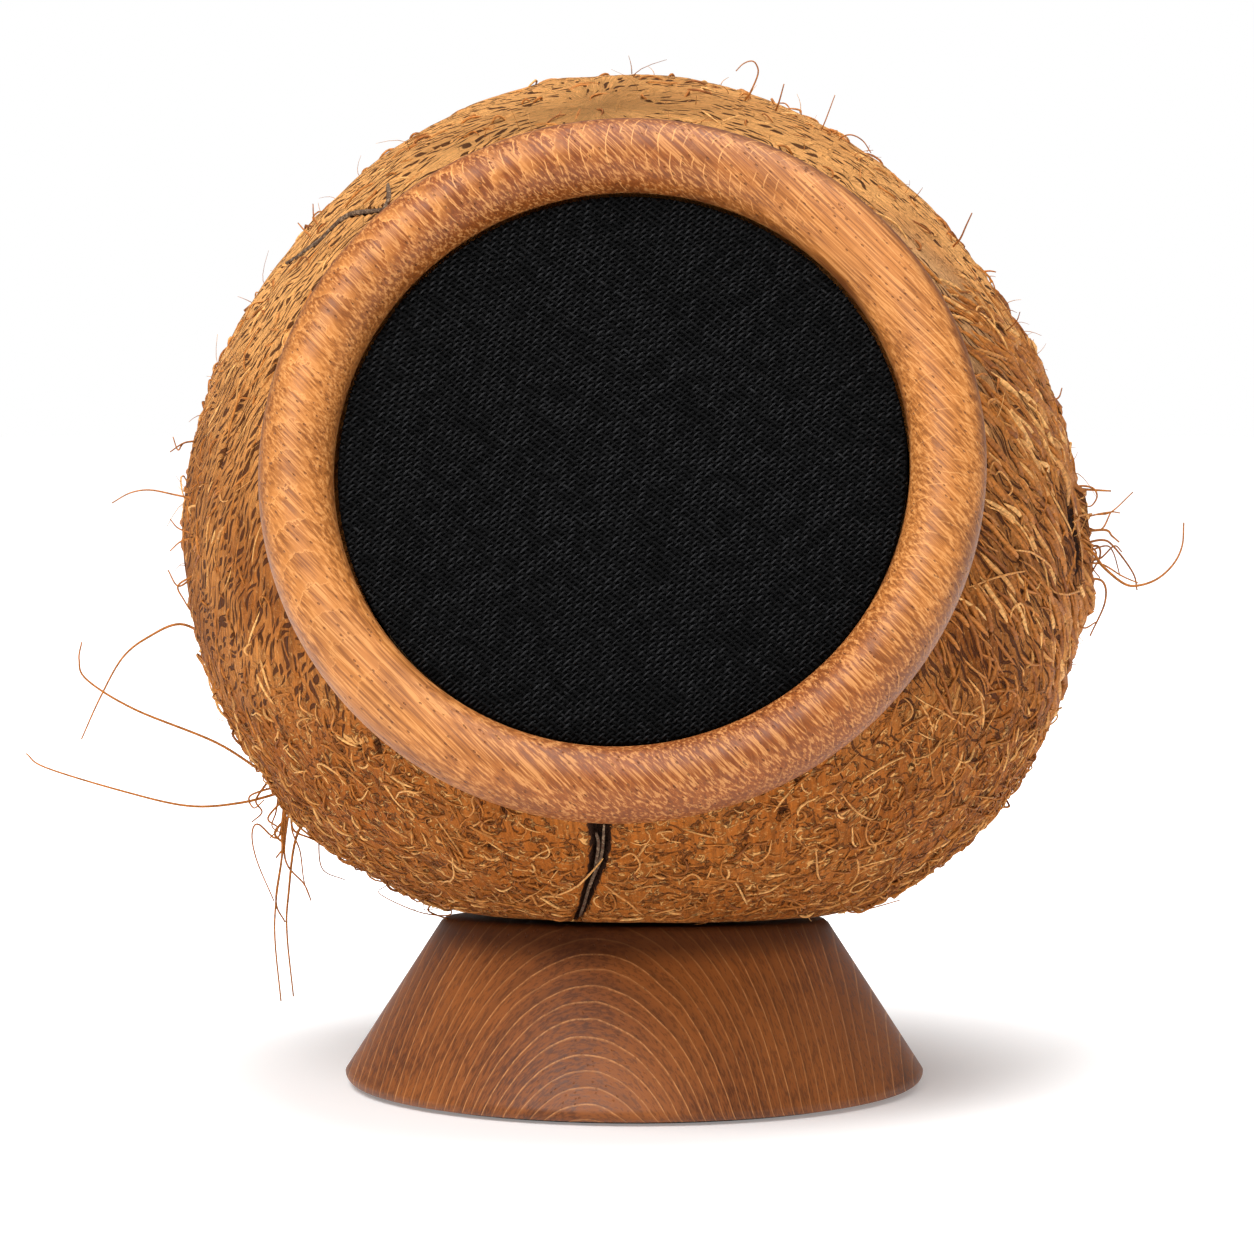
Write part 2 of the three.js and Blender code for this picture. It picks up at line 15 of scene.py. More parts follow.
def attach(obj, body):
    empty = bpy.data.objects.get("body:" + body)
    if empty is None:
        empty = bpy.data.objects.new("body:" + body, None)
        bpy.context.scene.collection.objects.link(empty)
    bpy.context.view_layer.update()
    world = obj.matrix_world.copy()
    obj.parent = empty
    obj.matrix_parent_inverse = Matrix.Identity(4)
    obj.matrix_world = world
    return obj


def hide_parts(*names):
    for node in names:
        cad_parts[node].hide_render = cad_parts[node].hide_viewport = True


bl_info = {
    "name": "Coconut shell loudspeaker",
    "version": (1, 0, 0),
    "blender": (4, 5, 0),
    "location": "View3D > Sidebar > Coconut speaker",
    "description": "Builds the husk, fibres, ring, grille cloth and base of a coconut shell loudspeaker",
    "category": "Object",
}

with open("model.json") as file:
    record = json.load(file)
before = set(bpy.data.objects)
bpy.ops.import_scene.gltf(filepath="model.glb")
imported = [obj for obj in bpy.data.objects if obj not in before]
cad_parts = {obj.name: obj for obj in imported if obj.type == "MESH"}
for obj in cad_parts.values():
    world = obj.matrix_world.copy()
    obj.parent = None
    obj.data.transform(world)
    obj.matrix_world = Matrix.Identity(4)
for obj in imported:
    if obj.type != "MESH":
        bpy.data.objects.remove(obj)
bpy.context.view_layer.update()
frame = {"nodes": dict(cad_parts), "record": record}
MM = 0.001
TAU = 2 * math.pi
BODY = "root"


# Sizes and colours a user would change

def length(name, description, default):
    return FloatProperty(name=name, description=description, default=default, unit="LENGTH")


def turn(name, description, degrees):
    return FloatProperty(name=name, description=description, default=math.radians(degrees), unit="ROTATION")


def share(name, description, default):
    return FloatProperty(name=name, description=description, default=default, subtype="FACTOR")


def count(name, description, default):
    return IntProperty(name=name, description=description, default=default, min=1)


def colour(name, description, default):
    return FloatVectorProperty(name=name, description=description, default=default, subtype="COLOR", size=3)


def place(name, description, default):
    return FloatVectorProperty(name=name, description=description, default=default, unit="LENGTH", size=3)


class NutSettings(bpy.types.PropertyGroup):
    """Form of the nut: two half ellipsoids end to end, with an oval section and three blunt ridges"""
    centre: place("Centre", "Middle of the nut, where its section is widest", (-0.0010, 0.0145, 0.0800))
    yaw: turn("Yaw", "Turn of the front end towards +X", 3.1)
    drop: turn("Drop", "Dip of the front end", 2.3)
    radius: length("Radius", "Mean radius of the widest section", 0.0642)
    front_length: length("Front length", "Half length towards the mouth", 0.0860)
    rear_length: length("Rear length", "Half length towards the rear", 0.0700)
    oval: share("Oval", "Share of the radius in two bulges round the axis", 0.018)
    oval_turn: turn("Oval turn", "Where the two bulges stand", -48.8)
    ridges: share("Ridges", "Share of the radius in three blunt ridges", 0.022)
    ridge_turn: turn("Ridge turn", "Where the ridges stand", 258.9)
    wall: length("Wall", "Husk and shell together", 0.0110)
    rear_plane: length("Rear plane", "Distance of the flat rear face from the centre", 0.0670)
    rear_hole: length("Rear hole", "Radius of the hole in the rear face", 0.0110)
    stem: FloatVectorProperty(
        name="Stem", description="Direction in which the fibres run together", default=(-0.04, -0.48, 0.875),
        subtype="DIRECTION", size=3)
    columns: count("Columns", "Grid columns round the nut", 424)
    rows: count("Rows", "Grid rows along the husk's outside", 200)


class MouthSettings(bpy.types.PropertyGroup):
    """Mouth of the nut, and the ring and cloth in it"""
    place: place("Place", "Middle of the mouth", (0.0018, -0.0470, 0.09035))
    tilt: turn("Tilt", "How far the mouth looks up", 18.0)
    bore: length("Bore", "Radius of the mouth's bore", 0.0385)
    face: length("Face", "Height of the planed face on the mouth's axis", -0.0043)
    ring_middle: length("Ring middle", "Radius of the ring's middle line", 0.0438)
    ring_tube: length("Ring tube", "Radius of the ring's round section", 0.0051)
    ring_back: length("Ring back", "Height of the ring's flat back", -0.0040)
    cloth_radius: length("Cloth radius", "Radius of the grille cloth", 0.0383)
    cloth_edge: length("Cloth edge", "Height of the cloth at its rim", -0.0009)
    cloth_crown: length("Cloth crown", "Rise of the cloth to its middle", 0.0020)
    warp_step: FloatVectorProperty(
        name="Warp step", description="From one crossing to the next along a warp thread, across and up",
        default=(0.00068, 0.00056), unit="LENGTH", size=2)
    weft_step: FloatVectorProperty(
        name="Weft step", description="From one crossing to the next along a weft thread, across and up",
        default=(0.00054, -0.00040), unit="LENGTH", size=2)


class BaseSettings(bpy.types.PropertyGroup):
    """Turned base: a cone with a rounded foot, a sloping seat, a bolt hole and a recess for the pad"""
    radius: length("Radius", "Radius at the foot", 0.0415)
    rounding: length("Rounding", "Radius of the rounded foot", 0.0014)
    slope: share("Slope", "Radius lost for each unit of height", 0.64)
    seat_height: length("Seat height", "Height of the seat on the base's axis", 0.0238)
    seat_tilt: turn("Seat tilt", "Fall of the seat towards the rear", 4.0)
    lift: length("Lift", "How far the pad stands proud of the foot", 0.0005)
    recess: length("Recess", "Height of the recess's ceiling", 0.0019)
    recess_radius: length("Recess radius", "Radius of the recess for the pad", 0.0383)
    hole: length("Bolt hole", "Radius of the bolt hole", 0.0034)
    counterbore: length("Counterbore", "Radius of the counterbore", 0.0082)
    counterbore_top: length("Counterbore top", "Height of the counterbore's shelf", 0.0143)


class FibreSettings(bpy.types.PropertyGroup):
    """Fibres of the husk"""
    laid: count("Laid fibres", "Tries at a fibre along the grain, in each of three pieces", 9000)
    matted: count("Matted fibres", "Short fibres matted under the nut", 2600)
    curls: count("Curls", "Pale curled fibres on the surface", 520)
    hairs: count("Hairs", "Short hairs that stand off the husk", 300)
    thickness: length("Thickness", "Radius of a laid fibre", 0.00022)
    loose: length("Loose thickness", "Radius of a loose strand at its root", 0.00024)


class ColourSettings(bpy.types.PropertyGroup):
    """Colours of the finishes"""
    # The golden husk is partly the husk's own tone and partly painted light on the lit top; the crown colour
    # is a painted highlight
    husk_golden: colour("Golden husk", "Sanded husk at the top", (0.600, 0.228, 0.052))
    husk_crown_highlight: colour("Husk at the crown", "Palest sanded husk on the top", (0.930, 0.435, 0.135))
    husk_brown: colour("Brown husk", "Husk at the sides and bottom", (0.300, 0.082, 0.009))
    husk_pale: colour("Pale husk", "Bare, greyish husk", (0.660, 0.350, 0.145))
    # Painted shade in the seam, the crack and the slot
    husk_groove_shade: colour("Husk in hollows", "The seam, the crack and the slot", (0.024, 0.008, 0.003))
    # Painted shade in pits, slits and grooves and between curls and bundles, and darker specks of the husk
    # and the bark
    husk_dark_and_shade: colour("Deep husk", "Bottom of pits and grooves", (0.070, 0.017, 0.003))
    coir_dark: colour("Dark coir", "Stained fibres", (0.250, 0.075, 0.013))
    coir_body: colour("Coir", "Common fibres", (0.430, 0.146, 0.023))
    coir_light: colour("Light coir", "Bleached fibres", (0.760, 0.390, 0.125))
    bark: colour("Bark", "Grey-brown slivers in the crack and the seam", (0.085, 0.050, 0.030))
    bark_pale: colour("Pale bark", "Worn ridges of the slivers", (0.300, 0.200, 0.120))
    ring_light: colour("Light ring wood", "Pale growth lines", (0.500, 0.188, 0.043))
    ring_crest: colour("Palest ring wood", "Edges of the pale patches", (0.740, 0.350, 0.115))
    ring_body: colour("Ring wood", "Body of the ring's wood", (0.240, 0.060, 0.008))
    # Dark ring wood also paints the shade along the ring's edges
    ring_dark: colour("Dark ring wood", "Dark edge band", (0.105, 0.026, 0.006))
    base_line: colour("Light base line", "Thin pale growth lines", (0.700, 0.310, 0.105))
    base_body: colour("Base wood", "Body of the base's wood", (0.165, 0.047, 0.012))
    base_warm: colour("Warm base wood", "Lighter patches", (0.330, 0.100, 0.020))
    # The dark base wood also paints the shade under the nut at the top of the base
    base_dark: colour("Dark base wood", "Pores and dark streaks", (0.050, 0.014, 0.005))
    cloth: colour("Cloth", "Black thread", (0.0010, 0.0010, 0.0012))
    # The lighter thread is partly random paler thread and partly a painted highlight on the warp
    cloth_pale_and_glint: colour("Worn cloth", "Lighter thread", (0.0095, 0.0095, 0.0105))


class CameraSettings(bpy.types.PropertyGroup):
    """Viewpoint of the photograph"""
    distance: length("Distance", "Level distance from the origin", 0.750)
    azimuth: turn("Azimuth", "Turn of the viewpoint towards +X", 4.5)
    height: length("Height", "Height of the viewpoint", 0.116)
    shift: length("Shift", "Sideways place of the viewpoint", -0.00106)
    pitch: turn("Pitch", "How far the view looks down", 3.85)
    focal_pixels: FloatProperty(
        name="Focal length", description="Focal length in pixels of the square image", default=5250.0)
    image_pixels: IntProperty(
        name="Image size", description="Side of the square image in pixels", default=1254)


SETTINGS = {
    "coconut_nut": NutSettings,
    "coconut_mouth": MouthSettings,
    "coconut_base": BaseSettings,
    "coconut_fibre": FibreSettings,
    "coconut_colour": ColourSettings,
    "coconut_camera": CameraSettings,
}


def settings(name):
    return getattr(bpy.context.scene, "coconut_" + name)


# Numbers that vary over space

TABLE_SIZE = 8192
CELL_MIX = (73856093, 19349663, 83492791)
HALVINGS = 40


def unit(vectors):
    """Each vector divided by its own length."""
    return vectors / np.maximum(np.linalg.norm(vectors, axis=-1, keepdims=True), 1e-12)


def smooth_step(low, high, value):
    """0 at low, 1 at high and a smooth cubic between; low may be the larger one."""
    part = np.clip((value - low) / (high - low), 0, 1)
    return part * part * (3 - 2 * part)


def cell_number(cells, seed):
    """A repeatable number from 0 to 1 for each whole-number cell: its indices are mixed and look up a
    table."""
    table = np.random.default_rng(seed).random(TABLE_SIZE)
    mixed = np.bitwise_xor.reduce(cells * np.array(CELL_MIX), axis=-1)
    return table[mixed % TABLE_SIZE]


def noise(points, seed):
    """Smooth noise from -1 to 1: numbers on a unit lattice, blended between each cell's eight corners."""
    cells = np.floor(points).astype(np.int64)
    part = points - cells
    part = part * part * (3 - 2 * part)
    total = np.zeros(points.shape[:-1])
    for corner in itertools.product((0, 1), repeat=3):
        weight = np.prod(np.where(corner, part, 1 - part), axis=-1)
        total += weight * cell_number(cells + np.array(corner), seed)
    return 2 * total - 1


def nearest_dot(points, seed):
    """Distance to the nearest of the dots that lie one in each unit cell, and that dot's own number."""
    cells = np.floor(points).astype(np.int64)
    nearest = np.full(points.shape[:-1], np.inf)
    number = np.zeros(points.shape[:-1])
    for step in itertools.product((-1, 0, 1), repeat=3):
        cell = cells + np.array(step)
        dot = cell + np.stack([cell_number(cell, seed + axis) for axis in range(3)], axis=-1)
        distance = np.linalg.norm(points - dot, axis=-1)
        closer = distance < nearest
        nearest = np.where(closer, distance, nearest)
        number = np.where(closer, cell_number(cell, seed + 3), number)
    return nearest, number


def first_true(low, high, test):
    """Where, from low to high, a test turns true: the stretch is halved many times, for whole arrays at
    once."""
    for _ in range(HALVINGS):
        middle = (low + high) / 2
        passed = test(middle)
        low, high = np.where(passed, low, middle), np.where(passed, middle, high)
    return high


def path_distance(points, path):
    """Distance from each point to a line through the path's points, and the share of the way along it."""
    nearest = np.full(len(points), np.inf)
    along = np.zeros(len(points))
    for i, (start, end) in enumerate(zip(path[:-1], path[1:])):
        step = end - start
        part = np.clip((points - start) @ step / (step @ step), 0, 1)
        distance = np.linalg.norm(points - start - part[:, None] * step, axis=1)
        closer = distance < nearest
        nearest = np.where(closer, distance, nearest)
        along = np.where(closer, (i + part) / (len(path) - 1), along)
    return nearest, along


def smooth_path(route, steps):
    """A smooth curve through the route's points: on each stretch, a cubic whose slopes are the chords'
    means."""
    route = np.asarray(route, float)
    slope = np.gradient(route, axis=0)
    spot = np.linspace(0, len(route) - 1, steps + 1)
    i = np.minimum(spot.astype(int), len(route) - 2)
    s = (spot - i)[:, None]
    return ((2 * s**3 - 3 * s**2 + 1) * route[i] + (s**3 - 2 * s**2 + s) * slope[i]
            + (3 * s**2 - 2 * s**3) * route[i + 1] + (s**3 - s**2) * slope[i + 1])


# The nut's form

SLOPE_STEP = 0.1 * MM


class NutForm:
    """The smooth nut: how far out a point lies, the surface point on its ray, and the way outwards there."""

    def __init__(self):
        nut = settings("nut")
        self.nut = nut
        self.centre = np.array(nut.centre)
        sin_yaw, cos_yaw, cos_drop = math.sin(nut.yaw), math.cos(nut.yaw), math.cos(nut.drop)
        self.axis = np.array([sin_yaw * cos_drop, -cos_yaw * cos_drop, -math.sin(nut.drop)])
        self.side = np.array([cos_yaw, sin_yaw, 0.0])
        self.up = np.cross(self.axis, self.side)
        stem = np.array(nut.stem)
        self.stem = stem / np.linalg.norm(stem)

    def section(self, angle):
        """Radius of the widest section: the mean, two bulges and three ridges."""
        nut = self.nut
        bulges = nut.oval * np.cos(2 * angle - nut.oval_turn)
        return nut.radius * (1 + bulges + nut.ridges * np.cos(3 * angle - nut.ridge_turn))

    def point(self, reach, angle, inset=0.0):
        """Point at a reach from -1, the rear end, to 1, the front end: an ellipse's height there, turned by
        angle. An inset brings it inwards."""
        nut = self.nut
        ahead = reach * (np.where(reach > 0, nut.front_length, nut.rear_length) - inset)
        out = self.section(angle) * (1 - inset / nut.radius) * np.sqrt(np.maximum(1 - reach * reach, 0))
        ahead, across, above = (
            part[..., None] for part in (ahead, out * np.cos(angle), out * np.sin(angle)))
        return self.centre + ahead * self.axis + across * self.side + above * self.up

    def measure(self, points):
        """1 on the smooth surface and in proportion inside and outside."""
        away = points - self.centre
        ahead, across, above = away @ self.axis, away @ self.side, away @ self.up
        half = np.where(ahead > 0, self.nut.front_length, self.nut.rear_length)
        section = self.section(np.arctan2(above, across))
        return np.sqrt((ahead / half) ** 2 + (across**2 + above**2) / section**2)

    def onto(self, points):
        """The surface point on the ray from the centre through each point."""
        return self.centre + (points - self.centre) / self.measure(points)[..., None]

    def outward(self, points):
        """The slope of the measure, from small steps along the three axes."""
        steps = SLOPE_STEP * np.eye(3)
        slope = [self.measure(points + step) - self.measure(points - step) for step in steps]
        return unit(np.stack(slope, axis=-1))

    def beside_stem(self):
        """Two directions across the stem and across each other."""
        first = unit(np.cross([0.0, 1.0, 0.0], self.stem))
        return first, np.cross(self.stem, first)

    def grain(self, points):
        """Place along and round the fibres: the cosine and sine of the longitude about the stem, and
        latitude."""
        away = unit(points - self.centre)
        first, second = self.beside_stem()
        round_first, round_second, rise = away @ first, away @ second, away @ self.stem
        reach = np.maximum(np.hypot(round_first, round_second), 1e-6)
        return np.stack([round_first / reach, round_second / reach, np.arcsin(np.clip(rise, -1, 1))], axis=-1)

    def along_fibres(self, outward):
        """The direction of a meridian: the stem's direction with its part along the outward way taken off."""
        return unit(self.stem - (outward @ self.stem)[..., None] * outward)


def mouth_matrix():
    """The mouth's frame: +Z leaves the mouth along its axis, X is the object's X."""
    mouth = settings("mouth")
    return Matrix.Translation(mouth.place) @ Matrix.Rotation(math.pi / 2 - mouth.tilt, 4, "X")


def placed(points, matrix):
    """Points of a local frame in the object's frame."""
    matrix = np.array(matrix)
    return points @ matrix[:3, :3].T + matrix[:3, 3]


def mouth_height(points):
    """Height of each point on the mouth's axis."""
    matrix = np.array(mouth_matrix())
    return (points - matrix[:3, 3]) @ matrix[:3, 2]


def seat_height(points):
    """Height of each point over the base's sloping seat, and the seat's upward direction."""
    base = settings("base")
    upward = np.array([0.0, math.sin(base.seat_tilt), math.cos(base.seat_tilt)])
    return (points - np.array([0.0, 0.0, base.seat_height])) @ upward, upward


SEAT_ROUNDING = 1.6 * MM
SEAT_REACH = 12 * SEAT_ROUNDING
SEAT_CLEARANCE = 0.2 * MM
TOUCHING = 0.1 * MM


def settled(points):
    """Points kept over the seat: a height becomes half the sum of itself and the root of its square plus the
    rounding's square, which is never below 0. Points that are lifted at all get a little clearance as
    well."""
    height, upward = seat_height(points)
    rounded = 0.5 * (height + np.sqrt(height**2 + SEAT_ROUNDING**2))
    lift = np.where(height < SEAT_REACH, rounded - height, 0.0)
    lift = np.maximum(lift, 0) + SEAT_CLEARANCE * (lift > TOUCHING)
    return points + lift[..., None] * upward


# The photograph's viewpoint, and the nut's surface point that a pixel shows

def camera_frame():
    """Place of the camera and its forward, right and up directions."""
    view = settings("camera")
    sin_turn, cos_turn = math.sin(view.azimuth), math.cos(view.azimuth)
    sin_pitch, cos_pitch = math.sin(view.pitch), math.cos(view.pitch)
    eye = np.array([view.shift + view.distance * sin_turn, -view.distance * cos_turn, view.height])
    forward = np.array([-sin_turn * cos_pitch, cos_turn * cos_pitch, -sin_pitch])
    right = np.array([cos_turn, sin_turn, 0.0])
    return eye, forward, right, np.cross(right, forward)


def pixel_rays(pixels):
    """Directions of the pixels' rays, one unit deep along the view."""
    view = settings("camera")
    forward, right, up = camera_frame()[1:]
    offset = (np.asarray(pixels, float) - view.image_pixels / 2) / view.focal_pixels
    return forward + offset[:, :1] * right - offset[:, 1:] * up


MARCH_REACH = 0.1
MARCH_STEPS = 240


def seen_on_nut(form, pixels):
    """First crossing of each pixel's ray with the smooth nut: marched in steps, then halved many times.
    A pixel that misses the nut gets the surface point beside its ray's closest approach."""
    eye = camera_frame()[0]
    distance = settings("camera").distance
    rays = unit(pixel_rays(pixels))
    march = np.linspace(distance - MARCH_REACH, distance + MARCH_REACH, MARCH_STEPS)
    measures = form.measure(eye + march[None, :, None] * rays[:, None, :])
    inside = measures < 1
    first = np.where(inside.any(axis=1), inside.argmax(axis=1), measures.argmin(axis=1))
    near, far = march[np.maximum(first - 1, 0)], march[first]
    crossing = first_true(near, far, lambda way: form.measure(eye + way[:, None] * rays) < 1)
    return form.onto(eye + crossing[:, None] * rays)


# Routes seen in the photograph, in its pixels, and a bare pale patch

def pixel_route(text):
    """A route's points, written as x,y with spaces between them."""
    return [[float(number) for number in point.split(",")] for point in text.split()]


def pixel_routes(text):
    """Several routes, one on each line."""
    return [pixel_route(row) for row in text.strip().split("\n")]


BOTTOM_SEAM = pixel_route("600,815 600,850 596,872 586,900 576,930")
UPPER_CRACK = pixel_route("393,207 370,212 350,216 332,228 318,240 300,252 285,262")
RIGHT_SLOT = pixel_route("1070,512 1076,534 1078,558 1075,584")
RIGHT_FLAP = pixel_route("1082,500 1090,530 1092,560 1088,590 1083,606")
PALE_PATCH = (925, 300)

# Slivers of bark: along the crack, beside it, and in the seam
BARK_SLIVERS = (UPPER_CRACK, *pixel_routes("""
    384,210 389,198 389,185
    596,834 598,850 594,876
    604,826 601,860 590,888 580,918"""))

# Pale curls that lie on the surface
SURFACE_CURLS = pixel_routes("""
    995,475 998,473 1010,489 1004,500
    987,504 1010,518 1027,542 1041,563
    1013,550 1030,553 1047,565 1056,580
    1050,587 1056,593 1065,594 1076,590 1082,582
    968,587 994,577 1010,573 1025,571
    1008,625 1006,610 1015,603 1022,613 1016,628
    1070,536 1073,521 1084,515 1090,520
    603,861 584,878 569,889 550,897
    603,887 617,893 632,902 644,917
    882,807 865,827 867,840 880,835 889,818
    843,796 850,805 861,814 874,818 882,805
    852,827 850,838 856,846
    815,848 815,868 820,879
    854,851 855,868 847,888
    830,777 839,770 861,755
    433,884 447,882 455,874 453,862
    470,815 476,806 474,796 480,788
    395,800 402,790 412,788 420,796
    330,700 338,712 336,726 344,736
    300,690 304,706 314,716
    520,905 532,893 540,903 552,900
    680,880 692,870 704,876 712,866
    740,850 752,858 766,852 772,840
    620,860 632,852 640,862 634,874
    268,806 290,822 312,836 330,858
    256,790 276,812 300,828 322,850 338,866""")

# Strands that stand off the outline, by place
FREE_STRANDS = {
    "right tuft": pixel_routes("""
        1088,520 1094,515 1111,512 1133,492
        1088,520 1094,515 1111,512 1120,513
        1088,524 1100,530 1111,512
        1090,532 1105,530 1112,536 1119,542
        1090,560 1099,559 1114,546 1122,552
        1090,565 1101,564 1122,576 1138,583
        1090,545 1102,540 1114,547 1133,573 1137,590
        1090,556 1104,546 1113,552 1120,576
        1089,580 1102,581 1105,602 1090,636
        1076,620 1084,628 1096,622
        1078,486 1085,486 1094,489 1097,497 1091,506 1082,505
        1080,488 1094,490 1111,491
        1088,540 1096,552 1092,566 1100,578
        1088,550 1097,546 1100,556 1092,572"""),
    "left tuft": pixel_routes("""
        272,812 282,826 282,856 276,901 275,940 281,1001
        272,812 282,856 276,901 285,922
        270,810 278,838 258,824 252,835 257,861 274,901
        280,816 292,830 300,851 304,881 311,901
        276,815 285,858 304,884 311,900
        282,814 293,829 310,838 329,846
        268,800 276,812 272,826 282,834
        275,806 268,818 278,828 270,838
        262,785 256,800 262,812 252,822
        268,792 250,796 254,808 264,800
        284,820 275,832 284,845 276,858"""),
    "left side": pixel_routes("""
        197,440 184,443 170,452
        197,440 184,443 178,450 173,437
        190,498 176,495 150,490 130,493 112,503
        188,533 178,528 170,519
        188,538 180,542 170,551
        190,578 178,586 168,570
        190,576 178,586 184,600 192,613
        318,226 314,218 313,204
        310,236 305,231 298,223
        262,300 252,305 246,318
        250,316 240,322 236,330
        228,368 218,372
        215,400 205,412 198,426"""),
    "top": pixel_routes("""
        744,100 750,93 758,74 756,64 751,61 743,64 736,71
        776,110 779,102 784,84
        820,130 824,124 835,95
        838,142 842,137 852,135 863,141 871,153
        955,245 960,239 966,226 972,213
        984,270 990,271 996,272
        1008,330 1016,322 1020,312
        1048,400 1058,398 1062,388"""),
    "underside": pixel_routes("""
        449,908 449,915 419,912 380,894 387,885
        430,906 430,912 460,922 495,928 518,921
        838,900 850,912 872,908 900,900
        850,900 858,913 884,900
        300,850 322,868 345,880"""),
}


# Relief and colour zones of the husk

PATCH_EDGE = (27 * MM, 9 * MM)
STEM_SPOT = (0.999, 0.988)


def zones(form, points):
    """Shares of each kind of husk at each point, from its height, its side and its distance from patches,
    with borders that wander: matted below, in bundles on the right, golden above, a pale bare patch, and
    slits that are densest at the open left and fade out at the stem."""
    side, height = points[..., 0] - form.centre[0], points[..., 2]
    wander = 7 * MM * noise(points / (14 * MM), 11)
    matted = smooth_step(64 * MM, 44 * MM, height + wander)
    right, left = smooth_step(16 * MM, 42 * MM, side + wander), smooth_step(-30 * MM, -52 * MM, side)
    below_crown = smooth_step(122 * MM, 100 * MM, height + wander)
    bundled = np.maximum(right, 0.22 * left) * below_crown * (1 - 0.75 * matted)
    from_patch = np.linalg.norm(points - seen_on_nut(form, [PALE_PATCH])[0], axis=-1)
    pale = smooth_step(*PATCH_EDGE, from_patch + wander)
    golden = smooth_step(60 * MM, 114 * MM, height - 0.02 * side + wander) * (1 - pale)
    open_left = smooth_step(10 * MM, -30 * MM, side) * smooth_step(42 * MM, 66 * MM, height + wander)
    slitted = np.maximum(0.45 + 0.55 * open_left, 0.70 * golden) - 0.14 * pale - 0.35 * matted
    slitted = slitted * smooth_step(*STEM_SPOT, unit(points - form.centre) @ form.stem)
    return {"matted": matted, "bundled": bundled, "pale": pale, "golden": golden, "slitted": slitted}


# Each groove's route, its half width, and the share of the width that is left at the route's end
GROOVES = (
    (BOTTOM_SEAM, 1.75 * MM, 0.30),
    (UPPER_CRACK, 0.62 * MM, 0.80),
    (RIGHT_SLOT, 3.2 * MM, 0.70),
)
FLAP = (RIGHT_FLAP, 2.6 * MM, 0.70)
FLAP_HEIGHT = 1.5 * MM
# Two kinds of pit: cells round and along the grain, a seed, and the share of cells that stay bare
PITS = (
    ((19, 19, 9), 41, 0.80),
    ((31, 31, 16), 42, 0.70),
)
FAR_GAP = 3.0


def groove_gap(form, points, pixels, half_width, taper):
    """Distance from a groove along a route of pixels, over its half width: 0 in the middle and 1 at the edge.
    The width tapers to a share of itself at the route's end."""
    distance, along = path_distance(points.reshape(-1, 3), seen_on_nut(form, pixels))
    return (distance / (half_width * (1 + (taper - 1) * along))).reshape(points.shape[:-1])


def grooves_gap(form, points):
    """The least gap of the seam, the crack and the slot."""
    gaps = [groove_gap(form, points, *groove) for groove in GROOVES]
    return np.minimum(np.minimum.reduce(gaps), FAR_GAP)


def pit_gap(form, points, zone):
    """Distance from the nearest pit's middle over the pit's size, for two kinds of pit along the grain."""
    grain = form.grain(points)
    wobble = np.stack([noise(points / (3 * MM), seed) for seed in (31, 32, 33)], axis=-1)
    nearest = np.full(len(points), FAR_GAP)
    for cells, seed, bare in PITS:
        distance, number = nearest_dot(grain * cells + 0.18 * wobble, seed)
        least = bare + 0.10 * zone["matted"]
        size = 0.20 + 0.40 * np.maximum(number - least, 0)
        nearest = np.minimum(nearest, np.where(number > least, distance / size, FAR_GAP))
    return nearest


def lumps(form, points, zone):
    """Broad relief: slow noise everywhere, ridges along the grain, highest where the fibres lie in bundles,
    and the flap beside the slot."""
    grain = form.grain(points)
    slow = 0.55 * MM * noise(points / (17 * MM), 21) + 0.28 * MM * noise(points / (6 * MM), 22)
    ridges = noise(grain * [26, 26, 5], 23) + 0.6 * noise(grain * [52, 52, 9], 24)
    depth = MM * (0.08 + 0.34 * zone["bundled"] + 0.14 * zone["matted"])
    flap = smooth_step(1.6, 0.2, groove_gap(form, points, *FLAP))
    return slow + depth * ridges + FLAP_HEIGHT * flap


# Meshes from grids and paths

def new_mesh(name, vertices, faces, attributes=None, smooth=True):
    """A mesh object from an array of vertices and arrays of faces, each with one number of corners.
    Attributes are one number or one vector for each vertex."""
    mesh = bpy.data.meshes.new(name)
    corners = np.concatenate([np.asarray(f, np.int32).ravel() for f in faces])
    sizes = np.concatenate([np.full(len(f), np.shape(f)[1], np.int32) for f in faces])
    starts = np.concatenate([[0], np.cumsum(sizes)[:-1]]).astype(np.int32)
    mesh.vertices.add(len(vertices))
    mesh.vertices.foreach_set("co", np.asarray(vertices, np.float32).ravel())
    mesh.loops.add(len(corners))
    mesh.loops.foreach_set("vertex_index", corners)
    mesh.polygons.add(len(sizes))
    mesh.polygons.foreach_set("loop_start", starts)
    mesh.update(calc_edges=True)
    mesh.polygons.foreach_set("use_smooth", np.full(len(sizes), smooth))
    for label, values in (attributes or {}).items():
        values = np.asarray(values, np.float32)
        vector = values.ndim == 2
        attribute = mesh.attributes.new(label, "FLOAT_VECTOR" if vector else "FLOAT", "POINT")
        attribute.data.foreach_set("vector" if vector else "value", values.ravel())
    if mesh.validate():
        raise RuntimeError(f"{name}: the mesh had faces that Blender had to repair")
    piece = bpy.data.objects.new(name, mesh)
    bpy.context.scene.collection.objects.link(piece)
    return piece


def ring_faces(rows, columns, closed_rows):
    """Quads of a grid whose columns close on themselves, and whose rows may; row by row, then column by
    column."""
    row, column = np.arange(rows if closed_rows else rows - 1)[:, None], np.arange(columns)[None, :]
    lower, upper = row * columns, (row + 1) % rows * columns
    beside = (column + 1) % columns
    return np.stack([lower + column, lower + beside, upper + beside, upper + column], axis=-1).reshape(-1, 4)


